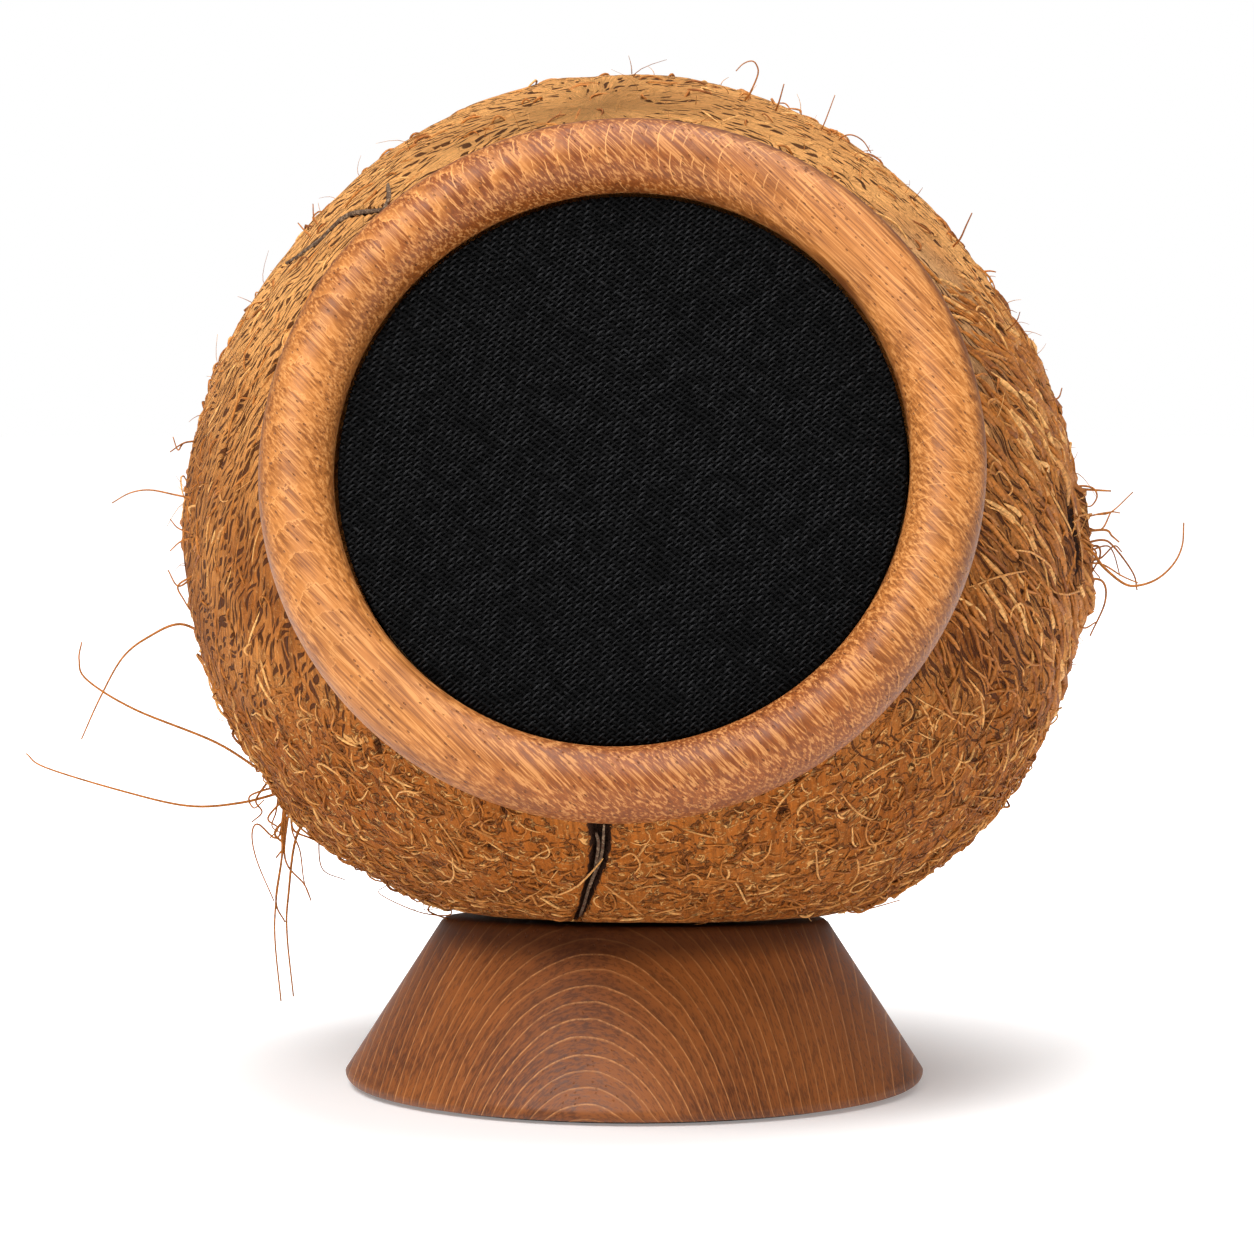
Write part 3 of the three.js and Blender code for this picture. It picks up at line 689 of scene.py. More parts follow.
def turned_points(profile, columns):
    """A profile of (radius, height) turned about Z: rows follow the profile and columns go round."""
    angle = TAU * np.arange(columns) / columns
    radius, height = profile[:, :1], profile[:, 1:]
    level = np.broadcast_to(height, (len(profile), columns))
    return np.stack([radius * np.cos(angle), radius * np.sin(angle), level], axis=-1)


def between(start, end, shares):
    """Rows of points at these shares of the way from one row to another."""
    return np.stack([start * (1 - part) + end * part for part in shares])


def tube_mesh(name, paths, outward, radii, sides, attributes=None):
    """Tubes along many paths at once: round each path point stands a polygon of the given radius, in the
    plane of the outward direction and the direction across the path, and its first corner points
    outwards."""
    tubes, steps = paths.shape[:2]
    ahead = unit(np.gradient(paths, axis=1))
    across = unit(np.cross(ahead, outward))
    lift = np.cross(across, ahead)
    angle = (math.pi / 2 + TAU * np.arange(sides) / sides)[:, None]
    spoke = np.cos(angle) * across[:, :, None, :] + np.sin(angle) * lift[:, :, None, :]
    vertices = paths[:, :, None, :] + radii[:, :, None, None] * spoke
    tube = np.arange(tubes)[:, None, None] * steps * sides
    step = np.arange(steps - 1)[None, :, None] * sides
    corner = np.arange(sides)[None, None, :]
    first, second = tube + step + corner, tube + step + (corner + 1) % sides
    quads = np.stack([first, first + sides, second + sides, second], axis=-1).reshape(-1, 4)
    near_ends = tube[:, 0] + np.arange(sides)
    far_ends = (near_ends + (steps - 1) * sides)[:, ::-1]
    spread = {
        label: np.repeat(np.broadcast_to(values, (tubes, steps)).ravel(), sides)
        for label, values in (attributes or {}).items()}
    return new_mesh(name, vertices.reshape(-1, 3), [quads, near_ends, far_ends], spread)


def finished(piece, material, replaces=()):
    """The piece gets its material and rides on the body, and the nodes that it stands for are hidden."""
    piece.data.materials.clear()
    piece.data.materials.append(material)
    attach(piece, BODY)
    if replaces:
        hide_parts(*replaces)
    return piece


# Shader graphs

class Signal:
    """What a node's output gives; sums, differences, products and quotients of signals add Math nodes."""

    def __init__(self, graph, socket):
        self.graph = graph
        self.socket = socket

    def __add__(self, other):
        return self.graph.math("ADD", self, other)

    def __sub__(self, other):
        return self.graph.math("SUBTRACT", self, other)

    def __rsub__(self, other):
        return self.graph.math("SUBTRACT", other, self)

    def __mul__(self, other):
        return self.graph.math("MULTIPLY", self, other)

    def __truediv__(self, other):
        return self.graph.math("DIVIDE", self, other)

    def __rtruediv__(self, other):
        return self.graph.math("DIVIDE", other, self)


class Outputs:
    """A node's outputs as signals, by number or by name."""

    def __init__(self, graph, sockets):
        self.graph = graph
        self.sockets = sockets

    def __getitem__(self, key):
        return Signal(self.graph, self.sockets[key])


class Graph:
    """Adds nodes to a node tree. An input is given as a value or as the signal that feeds it."""

    def __init__(self, tree):
        self.tree = tree

    def link(self, value, socket):
        """Feeds a socket from a signal, or sets it to a value."""
        if isinstance(value, Signal):
            self.tree.links.new(value.socket, socket)
        else:
            socket.default_value = value

    def feed(self, shader, **values):
        """Feeds a shader's inputs, named with underscores for spaces."""
        for key, value in values.items():
            self.link(value, shader.inputs[key.replace("_", " ")])

    def add(self, kind, inputs=None, **options):
        """A shader node with its options and inputs set; gives its outputs."""
        node = self.tree.nodes.new("ShaderNode" + kind)
        for name, value in options.items():
            setattr(node, name, value)
        for key, value in (inputs or {}).items():
            self.link(value, node.inputs[key])
        return Outputs(self, node.outputs)

    def group(self, tree, inputs):
        return self.add("Group", inputs, node_tree=tree)

    def attribute(self, name, output="Fac"):
        return self.add("Attribute", attribute_name=name)[output]

    def object_place(self):
        return self.add("TexCoord")["Object"]

    def math(self, operation, first, second=0.0, clamp=False):
        return self.add("Math", {0: first, 1: second}, operation=operation, use_clamp=clamp)[0]

    def greatest(self, first, *others):
        """The greatest of several signals."""
        for other in others:
            first = self.math("MAXIMUM", first, other)
        return first

    def hypotenuse(self, first, second):
        """Square root of the sum of two squares."""
        return self.math("SQRT", first * first + second * second)

    def turn_away(self, turned_by, degrees):
        """Cosine of the turn away from a direction: 1 there, 0 a quarter turn away and -1 opposite."""
        return self.math("COSINE", turned_by - math.radians(degrees))

    def off_middle(self, value):
        """How far a value from 0 to 1 lies from one half."""
        return self.math("ABSOLUTE", value - 0.5)

    def range(self, value, low, high, new_low=0.0, new_high=1.0):
        """Value from low to high, turned smoothly into new_low to new_high; low may be the larger one."""
        inputs = {"Value": value, "From Min": low, "From Max": high, "To Min": new_low, "To Max": new_high}
        return self.add("MapRange", inputs, interpolation_type="SMOOTHSTEP")[0]

    def vector(self, operation, first, second):
        return self.add("VectorMath", {0: first, 1: second}, operation=operation)[0]

    def scaled(self, vector, scale):
        """Vector times a scale for each of its parts."""
        return self.vector("MULTIPLY", vector, scale)

    def split(self, vector):
        """The three parts of a vector."""
        return self.add("SeparateXYZ", {0: vector})

    def join(self, first, second=0.0, third=0.0):
        """A vector of three parts."""
        return self.add("CombineXYZ", {0: first, 1: second, 2: third})[0]

    def seen_from(self, spot, axes, origin):
        """The parts of a place in the frame with these axes and this origin."""
        turn_to = Matrix(axes)
        shift = -(turn_to @ Vector(origin))
        return self.split(self.add("Mapping", {
            "Vector": spot, "Location": shift, "Rotation": turn_to.to_euler()})[0])

    def noise(self, vector, scale, detail=2.0, rough=0.5, distortion=0.0):
        inputs = {"Vector": vector, "Scale": scale, "Detail": detail, "Roughness": rough,
                  "Distortion": distortion}
        return self.add("TexNoise", inputs)["Fac"]

    def wandering(self, vector, scale, detail, size):
        """A vector that wanders smoothly about zero, by a size for each of its parts."""
        wander = self.add("TexNoise", {"Vector": vector, "Scale": scale, "Detail": detail})["Color"]
        return self.scaled(self.vector("SUBTRACT", wander, (0.5, 0.5, 0.5)), size)

    def dots(self, vector):
        """Distance to the nearest of scattered dots, and a number for each dot."""
        near = self.add("TexVoronoi", {"Vector": vector, "Scale": 1.0})
        return near["Distance"], self.split(near["Color"])[0]

    def mix(self, cover, under, over, blend="MIX"):
        """A colour over another one, with a cover from 0 to 1."""
        inputs = {0: cover, 6: rgba(under), 7: rgba(over)}
        return self.add("Mix", inputs, data_type="RGBA", blend_type=blend)[2]

    def painted(self, tint, *coats):
        """A colour under coats laid on in order; each coat is its cover, from 0 to 1, and its colour."""
        for cover, paint in coats:
            tint = self.mix(cover, tint, paint)
        return tint

    def shaded(self, tint, value):
        """A colour times a number."""
        return self.mix(1.0, tint, self.join(value, value, value), "MULTIPLY")

    def bump(self, height, distance, strength=1.0):
        return self.add("Bump", {"Height": height, "Distance": distance, "Strength": strength})[0]


def rgba(value):
    """A colour with full alpha, or the signal as it is."""
    return value if isinstance(value, Signal) else (*value, 1.0)


def new_material(name, **constants):
    """A material with its graph and its Principled shader; constants are set on the shader's own sockets."""
    material = bpy.data.materials.new(name)
    material.use_nodes = True
    graph = Graph(material.node_tree)
    shader = material.node_tree.nodes["Principled BSDF"]
    graph.feed(shader, **constants)
    return material, graph, shader


def once(maker):
    """Keeps what a maker without arguments made, so that it is built once."""
    made = {}

    def kept():
        if "it" not in made:
            made["it"] = maker()
        return made["it"]
    return kept


def shader_group(inputs):
    """For a function that gets a graph and the group's inputs and gives its outputs by name: the shader node
    group is built once, under the function's name. Inputs are name: default, a number or None for a
    vector."""
    def decorate(maker):
        @once
        def made():
            tree = bpy.data.node_groups.new(maker.__name__, "ShaderNodeTree")
            for label, default in inputs.items():
                kind = "NodeSocketVector" if default is None else "NodeSocketFloat"
                socket = tree.interface.new_socket(name=label, in_out="INPUT", socket_type=kind)
                if default is not None:
                    socket.default_value = default
            graph = Graph(tree)
            results = maker(graph, Outputs(graph, tree.nodes.new("NodeGroupInput").outputs))
            for label in results:
                tree.interface.new_socket(name=label, in_out="OUTPUT", socket_type="NodeSocketFloat")
            leave = tree.nodes.new("NodeGroupOutput")
            for label, signal in results.items():
                graph.link(signal, leave.inputs[label])
            return tree
        return made
    return decorate


@shader_group({"Vector": None})
def fibre_streaks(graph, given):
    """Streaks along the third axis of the vector, fine ones and broad ones."""
    fine = graph.noise(graph.scaled(given["Vector"], (170, 170, 14)), 1.0, 3.0, 0.6)
    broad = graph.noise(graph.scaled(given["Vector"], (70, 70, 9)), 1.0, 2.0, 0.55, 0.6)
    return {"Streaks": fine * 0.6 + broad * 0.4}


HUSK_RADIUS = 0.066
CELL_STEP = 12.0
ASIDE_WANDER = 0.34
ALONG_WANDER = 0.24
SIZE_STEP = 0.35
SLIT_EDGE = 0.045


@shader_group({"Place": None, "Width": 0.0022, "Length": 0.0028, "Slit": 0.12, "Openness": 0.5})
def slit_net(graph, given):
    """Lens-shaped slits in staggered rows. A place's X is the turn round the stem and its Y the way along a
    meridian. Each row has a whole number of cells round the nut, so that cells keep their width, and each
    cell may hold one slit of its own size and place. A second set of rows lies half a row and half a cell
    aside."""
    parts = graph.split(given["Place"])
    turned_by, rise = parts[0], parts[1]
    sets = []
    for shift in (0.0, 0.5):
        level = rise / given["Length"] + shift
        row = graph.math("FLOOR", level)
        middle = (row - (shift - 0.5)) * given["Length"]
        girth = graph.math("COSINE", middle / HUSK_RADIUS) * (TAU * HUSK_RADIUS / CELL_STEP)
        around = graph.math("MAXIMUM", graph.math("ROUND", girth / given["Width"]) * CELL_STEP, CELL_STEP)
        cell = turned_by / TAU * around + shift
        column = graph.math("FLOORED_MODULO", graph.math("FLOOR", cell), around)
        key = graph.join(column, row, 7.0 * shift)
        numbers = graph.split(graph.add("TexWhiteNoise", {"Vector": key}, noise_dimensions="3D")["Color"])
        across = graph.math("FRACT", cell) + numbers[1] * ASIDE_WANDER
        across = graph.math("ABSOLUTE", across - (0.5 + ASIDE_WANDER / 2))
        along = graph.math("FRACT", level) + numbers[2] * ALONG_WANDER
        along = (along - (0.5 + ALONG_WANDER / 2)) / (0.5 - ALONG_WANDER / 2)
        lens = 1.0 - along * along
        least = 1.0 - given["Openness"]
        size = graph.range(numbers[0], least, least + SIZE_STEP) * given["Slit"]
        sets.append(graph.range(lens * size - across, 0.0, SLIT_EDGE))
    return {"Slits": graph.greatest(*sets)}


CURL_KINDS = {"Light": ((0.0, 0.0, 0.0), 0.040), "Dark": ((0.37, 0.11, 0.23), 0.055)}


@shader_group({"Vector": None, "Size": 0.003})
def curly_relief(graph, given):
    """Thin curly threads, light ones that stand up and dark ones between them, which are painted shade,
    where a bent noise crosses its middle value; a slower noise cuts them into pieces."""
    scale = 1.0 / given["Size"]
    threads = {}
    for label, (offset, width) in CURL_KINDS.items():
        spot = graph.vector("ADD", given["Vector"], offset)
        away = graph.off_middle(graph.noise(spot, scale, 1.5, 0.5, 1.4))
        pieces = graph.range(graph.noise(spot, scale * 1.7, 1.0), 0.46, 0.56)
        threads[label] = graph.range(away, width, 0.4 * width) * pieces
    return threads


PORE_SCALE = 1500.0


@shader_group({
    "Vector": None, "Spacing": 0.002, "Waviness": 0.001, "Line": 0.15, "Pore Length": 0.004,
    "Grain Scale": None})
def growth_layers(graph, given):
    """Growth layers of wood. The vector's X is the distance through the layers and Y runs along the grain. A
    layer ends in a pale line, broken here and there, and pores are short dots drawn out along the grain."""
    vector = given["Vector"]
    slow = graph.noise(graph.scaled(vector, (90, 40, 90)), 1.0, 2.0, 0.5)
    quick = graph.noise(graph.scaled(vector, (700, 220, 700)), 1.0, 2.0, 0.6)
    wave = (slow - 0.5) * given["Waviness"] + (quick - 0.5) * (given["Waviness"] * 0.10)
    cycle = (graph.split(vector)[0] + wave) / given["Spacing"]
    phase = graph.math("FRACT", cycle)
    layer = graph.math("FLOOR", cycle)
    each = graph.add("TexWhiteNoise", {"W": layer}, noise_dimensions="1D")["Value"]
    line_end = graph.greatest(graph.range(phase, 1.0 - given["Line"], 1.0), graph.range(phase, 0.05, 0.0))
    broken = graph.range(graph.noise(graph.scaled(vector, (1500, 600, 1500)), 1.0, 2.0, 0.6), 0.35, 0.62)
    lines = graph.math("MULTIPLY", line_end, broken * (each * 0.7) + 0.35, clamp=True)
    grain = graph.noise(graph.scaled(vector, given["Grain Scale"]), 1.0, 3.0, 0.65)
    pore_scale = graph.join(PORE_SCALE, 1.0 / given["Pore Length"], PORE_SCALE)
    distance, number = graph.dots(graph.scaled(vector, pore_scale))
    pores = graph.range(distance, 0.26, 0.12) * graph.range(number, 0.55, 0.70)
    return {"Lines": lines, "Tone": phase * 0.5 + each * 0.5, "Grain": grain, "Pores": pores,
            "Height": grain * 0.5 - pores}


@shader_group({"Vector": None, "Size": 0.0004})
def fine_surface(graph, given):
    """Fine moulded, cast or pressed surface: a grain of one size over slow changes of tone."""
    scale = 1.0 / given["Size"]
    grain = graph.noise(given["Vector"], scale, 3.0, 0.6)
    slow = graph.noise(given["Vector"], scale * 0.06, 2.0, 0.5)
    return {"Tone": grain * 0.5 + slow * 0.5, "Height": grain}


GRAIN_LEAN = 150.0
GRAIN_SWIRL = 7.2 * MM
GRAIN_WOBBLE = (0.030, 0.0020, 0.0)


def grain_place(graph, spot):
    """Place on the husk in its fibres' own terms: the turn round the stem and the way along a meridian. The
    place is swirled a little first, and the slits lean one way on the left and the other way on the
    right."""
    form = NutForm()
    spot = graph.vector("ADD", graph.wandering(spot, 130.0, 1.0, (GRAIN_SWIRL,) * 3), spot)
    parts = graph.seen_from(spot, (*form.beside_stem(), form.stem), form.centre)
    rise = graph.math("ARCTAN2", parts[2], graph.hypotenuse(parts[0], parts[1])) * HUSK_RADIUS
    lean = graph.split(spot)[0] * rise * GRAIN_LEAN
    turned_by = graph.math("ARCTAN2", parts[1], parts[0]) + lean
    return graph.vector("ADD", graph.join(turned_by, rise), graph.wandering(spot, 240.0, 2.0, GRAIN_WOBBLE))


def radial_place(graph, point, direction, narrow=1.0):
    """Vector for growth layers round an axis: distance from the axis, way along it, and place beside it. The
    layers may be narrower from side to side than they are tall."""
    along_axis = Vector(direction).normalized()
    first = Vector((1.0, 0.0, 0.0)) if narrow != 1.0 else along_axis.orthogonal().normalized()
    parts = graph.seen_from(graph.object_place(), (first, along_axis, first.cross(along_axis)), point)
    return graph.join(graph.hypotenuse(parts[0] * narrow, parts[2]), parts[1], parts[0])


# Materials of the husk, its fibres and the turned wood

def husk_slits(graph, place_at, bundled):
    """Short slits all over, as open as the zone says, and long ones between the bundles of fibre."""
    short = graph.group(slit_net(), {
        "Place": place_at, "Width": 2.1 * MM, "Length": 3.1 * MM, "Slit": 0.178,
        "Openness": graph.attribute("slitted")})["Slits"]
    long = graph.group(slit_net(), {
        "Place": place_at, "Width": 1.6 * MM, "Length": 8.5 * MM, "Slit": 0.19,
        "Openness": bundled * 0.95})["Slits"]
    return graph.greatest(short, long)


def husk_ground(graph, spot, golden, bundled, matted):
    """The husk's colour: brown and golden blotches, golden towards the top, partly its own tone and partly
    painted light, palest at the crown, a painted highlight, with its zones over them and painted shade
    between the bundles.
    """
    tones = settings("colour")
    blotch = graph.noise(spot, 55.0, 4.0, 0.6)
    # Painted highlight: palest at the crown, where the top is lit most
    crown = graph.math("POWER", golden, 3.0) * graph.range(blotch, 0.30, 0.60, 0.65, 1.0)
    tint = graph.mix(graph.range(blotch, 0.34, 0.70), tones.husk_brown, tones.husk_golden)
    return graph.painted(
        tint,
        # Golden towards the top: partly the husk's own tone and partly painted light
        (golden * 0.75, tones.husk_golden),
        (crown, tones.husk_crown_highlight),
        (matted * 0.85, tones.husk_brown),
        (graph.attribute("pale") * 0.85, tones.husk_pale),
        # Painted shade between the bundles of fibre
        (bundled * 0.32, tones.husk_dark_and_shade))


@once
def husk_material():
    """Husk: golden towards the top, partly its own tone and partly painted light, palest at the crown,
    which is a painted highlight; brown at the bottom and sides, with streaks, slits and pits on the
    grain, with painted shade in the slits, pits and grooves and between the curls and the bundles,
    and curly threads where it is matted."""
    tones = settings("colour")
    material, graph, shader = new_material("husk", Roughness=0.85, Specular_IOR_Level=0.12)
    spot = graph.object_place()
    golden, bundled, matted = (graph.attribute(name) for name in ("golden", "bundled", "matted"))
    slits = husk_slits(graph, grain_place(graph, spot), bundled)
    streaks = graph.group(fibre_streaks(), {"Vector": graph.attribute("grain", "Vector")})["Streaks"]
    curls = graph.group(curly_relief(), {"Vector": spot, "Size": 3 * MM})
    curled = matted * 0.85 + golden * 0.15 + 0.12
    light_curls, curl_shade = curls["Light"] * curled, curls["Dark"] * curled
    crumbs = graph.noise(spot, 1300.0, 3.0, 0.65)
    ragged = (graph.noise(spot, 700.0, 3.0, 0.6) - 0.5) * 0.9
    pits = graph.range(graph.attribute("pit_gap") + ragged, 1.0, 0.72)
    grooves = graph.range(graph.attribute("groove_gap") + ragged, 1.05, 0.85)
    # Painted shade: the slits, the pits, the grooves and the dark curls between the light ones are darkened
    # where shade falls in them
    dark = graph.greatest(slits * 0.93, curl_shade * 0.50, pits * 0.92, grooves)

    tint = husk_ground(graph, spot, golden, bundled, matted)
    tint = graph.shaded(tint, graph.range(streaks, 0.32, 0.68, 0.62, 1.20))
    tint = graph.painted(
        tint,
        (graph.range(crumbs, 0.58, 0.74, 0.0, 0.35), tones.husk_dark_and_shade),
        (graph.range(crumbs, 0.44, 0.28, 0.0, 0.40), tones.coir_light),
        (light_curls * 0.75, tones.coir_light),
        # Painted shade in the recesses, darkest in the grooves
        (dark, tones.husk_dark_and_shade),
        (grooves, tones.husk_groove_shade))
    height = streaks * (matted * -0.5 + 0.9) + crumbs * 0.25 + light_curls * 0.35
    height = height - graph.greatest(slits, curl_shade) * 0.9
    graph.feed(shader, Base_Color=tint, Normal=graph.bump(height, 1.7 * MM))
    return material


@once
def coir_material():
    """Coir: each fibre's own tone from dark to bleached, with flecks."""
    tones = settings("colour")
    material, graph, shader = new_material("coir", Roughness=0.66, Specular_IOR_Level=0.22)
    tone = graph.attribute("tone")
    fleck = graph.noise(graph.object_place(), 1700.0, 3.0, 0.6)
    tint = graph.mix(graph.range(tone, 0.0, 0.5), tones.coir_dark, tones.coir_body)
    tint = graph.mix(graph.range(tone, 0.55, 1.0), tint, tones.coir_light)
    tint = graph.shaded(tint, graph.range(fleck, 0.3, 0.7, 0.62, 1.18))
    graph.feed(shader, Base_Color=tint, Normal=graph.bump(fleck, 0.1 * MM, 0.6))
    return material


@once
def bark_material():
    """Weathered grey-brown bark: a dark body with pale ridges along it."""
    tones = settings("colour")
    material, graph, shader = new_material("bark", Roughness=0.85, Specular_IOR_Level=0.2)
    ridge = graph.noise(graph.object_place(), 1500.0, 3.0, 0.65, 0.6)
    tint = graph.mix(graph.range(ridge, 0.48, 0.70), tones.bark, tones.bark_pale)
    tint = graph.mix(graph.range(ridge, 0.46, 0.30), tint, tones.husk_dark_and_shade)
    graph.feed(shader, Base_Color=tint, Normal=graph.bump(ridge, 0.2 * MM, 0.8))
    return material


ARCS_ROUND = 157
SCALLOPS_ROUND = 60
RING_PITH = (-0.105, -0.105, -0.110)
RING_GRAIN = (1.0, -1.0, 0.0)


def ring_place(graph, spot):
    """Turn round the mouth's axis, and turn round the ring's tube from its outer side over its crest."""
    mouth = settings("mouth")
    parts = graph.seen_from(spot, mouth_matrix().inverted().to_3x3(), mouth.place)
    reach = graph.hypotenuse(parts[0], parts[1])
    around = graph.math("ARCTAN2", parts[1], parts[0])
    return around, graph.math("ARCTAN2", parts[2], reach - mouth.ring_middle)


def ring_arcs(graph, spot, arc, turned_by):
    """Pale hairline arcs across the tube, broken here and there, at the ring's top and right."""
    figured = graph.greatest(
        graph.range(graph.turn_away(turned_by, 98), 0.62, 0.92),
        graph.range(graph.turn_away(turned_by, -22), 0.55, 0.95, 0.0, 0.6))
    broken = graph.range(graph.noise(spot, 420.0, 2.0, 0.6), 0.44, 0.56)
    return graph.range(graph.off_middle(graph.math("FRACT", arc)), 0.075, 0.015) * broken * figured


def ring_scallops(graph, slow, fine, bulge, turned_by, tube):
    """Pale scalloped patches of figure and their pale rims, kept to the crest and strongest at the upper
    left, where the light falls most, so that they partly paint a highlight there.
    """
    scallop = turned_by * (-SCALLOPS_ROUND / TAU) + bulge * 0.55 + slow * 1.5 + fine * 0.6
    phase = graph.math("FRACT", scallop)
    crest = graph.range(graph.math("ABSOLUTE", tube - 1.35), 1.05, 0.25)
    # Partly painted highlight: strongest at the upper left of the crest, where the light falls
    where = crest * graph.range(graph.turn_away(turned_by, 158), 0.15, 0.75, 0.10, 1.0)
    where = where * graph.range(slow, 0.30, 0.56, 0.35, 1.0)
    return graph.range(phase, 0.60, 0.05) * where, graph.range(phase, 0.10, 0.0) * where


@once
def ring_wood_material():
    """Orange-brown hardwood: streaks and pores along the grain, hairline arcs, scalloped patches with a
    jagged edge, a finer figure across the tube where the grain runs across it, and dark bands along both
    edges: the outer one partly dark wood and partly painted shade, the inner one painted shade towards the
    cloth."""
    tones = settings("colour")
    material, graph, shader = new_material("ring_wood", Specular_IOR_Level=0.28)
    matrix = mouth_matrix()
    spot = graph.object_place()
    turned_by, tube = ring_place(graph, spot)
    off_crest = tube - 0.5 * math.pi
    bulge = off_crest * off_crest
    slow, fine = graph.noise(spot, 130.0, 2.0, 0.5), graph.noise(spot, 1100.0, 3.0, 0.6)
    arc = turned_by * (ARCS_ROUND / TAU) + bulge * 0.75 + slow * 1.2 + fine * 0.18
    patches, rims = ring_scallops(graph, slow, fine, bulge, turned_by, tube)
    layers = graph.group(growth_layers(), {
        "Vector": radial_place(graph, matrix @ Vector(RING_PITH), matrix.to_3x3() @ Vector(RING_GRAIN)),
        "Spacing": 1.85 * MM, "Waviness": 3.0 * MM, "Line": 0.30, "Pore Length": 1.2 * MM,
        "Grain Scale": (2300.0, 60.0, 2300.0)})
    grain = layers["Grain"]
    # Darker towards the ring's top and bottom, lighter at its sides
    top_and_bottom = graph.turn_away(turned_by, 108)
    across_share = graph.turn_away(turned_by, -45)
    across_share = across_share * across_share
    figure = graph.noise(graph.join(arc * 4.2, tube * 1.1, slow * 4.0), 1.0, 3.0, 0.62)

    tint = graph.mix(graph.range(top_and_bottom * top_and_bottom, 1.0, 0.2, 0.0, 0.75), tones.ring_body, tones.ring_light)
    tint = graph.painted(
        tint,
        (graph.range(slow, 0.60, 0.35, 0.0, 0.25), tones.ring_dark),
        (graph.range(figure, 0.50, 0.64) * across_share * 0.22, tones.ring_light),
        (graph.range(figure, 0.48, 0.34) * across_share * 0.26, tones.ring_dark),
        (graph.range(grain, 0.50, 0.62, 0.0, 0.48), tones.ring_crest),
        (graph.range(grain, 0.50, 0.38, 0.0, 0.54), tones.ring_dark),
        # Dark edge bands: partly dark wood at the outer edge, painted shade there and at the inner edge
        (graph.attribute("edge_band_and_shade") * 0.85, tones.ring_dark),
        (patches * 0.70, tones.ring_light),
        (rims * 0.55, tones.ring_crest),
        (ring_arcs(graph, spot, arc, turned_by) * 0.65, tones.ring_crest),
        (layers["Pores"] * 0.60, tones.ring_dark))
    graph.feed(shader, Base_Color=tint, Roughness=graph.range(grain, 0.2, 0.8, 0.38, 0.56),
               Normal=graph.bump(layers["Height"], 0.22 * MM, 0.8))
    return material


BASE_PITH = (-0.0035, 0.0, -0.0200)
BASE_NARROW = 1.8
# Heights over which painted shade darkens the base towards the seat, under the nut
SEAT_SHADE = (19.5 * MM, 23.5 * MM)


@once
def base_wood_material():
    """Dark reddish hardwood with thin pale growth lines in nested arcs about an axis that runs under the
    base, with painted shade that darkens it towards the seat, where the nut's shadow falls."""
    tones = settings("colour")
    material, graph, shader = new_material("base_wood", Specular_IOR_Level=0.32)
    layers = graph.group(growth_layers(), {
        "Vector": radial_place(graph, BASE_PITH, (0.0, 1.0, 0.0), BASE_NARROW), "Spacing": 2.1 * MM,
        "Waviness": 1.6 * MM, "Line": 0.13, "Pore Length": 0.7 * MM, "Grain Scale": (2600.0, 1200.0, 900.0)})
    grain = layers["Grain"]
    patch = graph.noise(graph.object_place(), 45.0, 3.0, 0.6)
    height = graph.split(graph.object_place())[2]
    tint = graph.mix(graph.range(patch, 0.32, 0.66), tones.base_body, tones.base_warm)
    tint = graph.painted(
        tint,
        (graph.range(grain, 0.44, 0.62, 0.0, 0.60), tones.base_warm),
        (graph.range(grain, 0.50, 0.38, 0.0, 0.40), tones.base_dark),
        (graph.range(layers["Tone"], 0.45, 0.05, 0.0, 0.30), tones.base_dark),
        (layers["Lines"] * 0.95, tones.base_line),
        # Painted shade: the top of the base under the nut is darkened where the nut's shadow falls
        (graph.range(height, *SEAT_SHADE, 0.0, 0.75), tones.base_dark),
        (layers["Pores"] * 0.25, tones.base_dark))
    graph.feed(shader, Base_Color=tint, Roughness=graph.range(grain, 0.2, 0.8, 0.40, 0.56),
               Normal=graph.bump(layers["Height"], 0.12 * MM, 0.5))
    return material


@once
def cloth_material():
    """Black thread with a faint sheen; each thread's tone comes from its attribute: paler threads at random,
    and a paler tone on the warp that paints its highlight.
    """
    tones = settings("colour")
    material, graph, shader = new_material("grille_fabric", Specular_IOR_Level=0.18)
    hair = graph.noise(graph.object_place(), 4200.0, 2.0, 0.6)
    # Paler thread tone: random, and a painted highlight on the warp
    tone_and_glint = graph.range(graph.attribute("tone") + hair * 0.6, 0.42, 1.10)
    graph.feed(shader, Base_Color=graph.mix(tone_and_glint, tones.cloth, tones.cloth_pale_and_glint),
               Roughness=graph.range(tone_and_glint, 0.0, 1.0, 0.98, 0.45), Normal=graph.bump(hair, 0.1 * MM, 0.6))
    return material


# Materials of the carried-over pieces

def surface_material(slot, base, rough, size, strength, metallic=0.0):
    """A fine surface in one colour: its tone and roughness vary with the grain, and the grain gives the
    bump."""
    material, graph, shader = new_material(slot, Metallic=metallic)
    surface = graph.group(fine_surface(), {"Vector": graph.object_place(), "Size": size})
    tone = surface["Tone"]
    darker = tuple(0.6 * value for value in base)
    lighter = tuple(min(1.0, 1.3 * value) for value in base)
    graph.feed(shader, Base_Color=graph.mix(graph.range(tone, 0.3, 0.7), darker, lighter),
               Roughness=graph.range(tone, 0.3, 0.7, rough * 0.85, rough * 1.15),
               Normal=graph.bump(surface["Height"], size, strength))
    return material


VENEER = 1.2 * MM
PLY_PITH = (0.0, 0.3, 0.0)
PLY_GRAIN = (1.0, 0.0, 0.0)


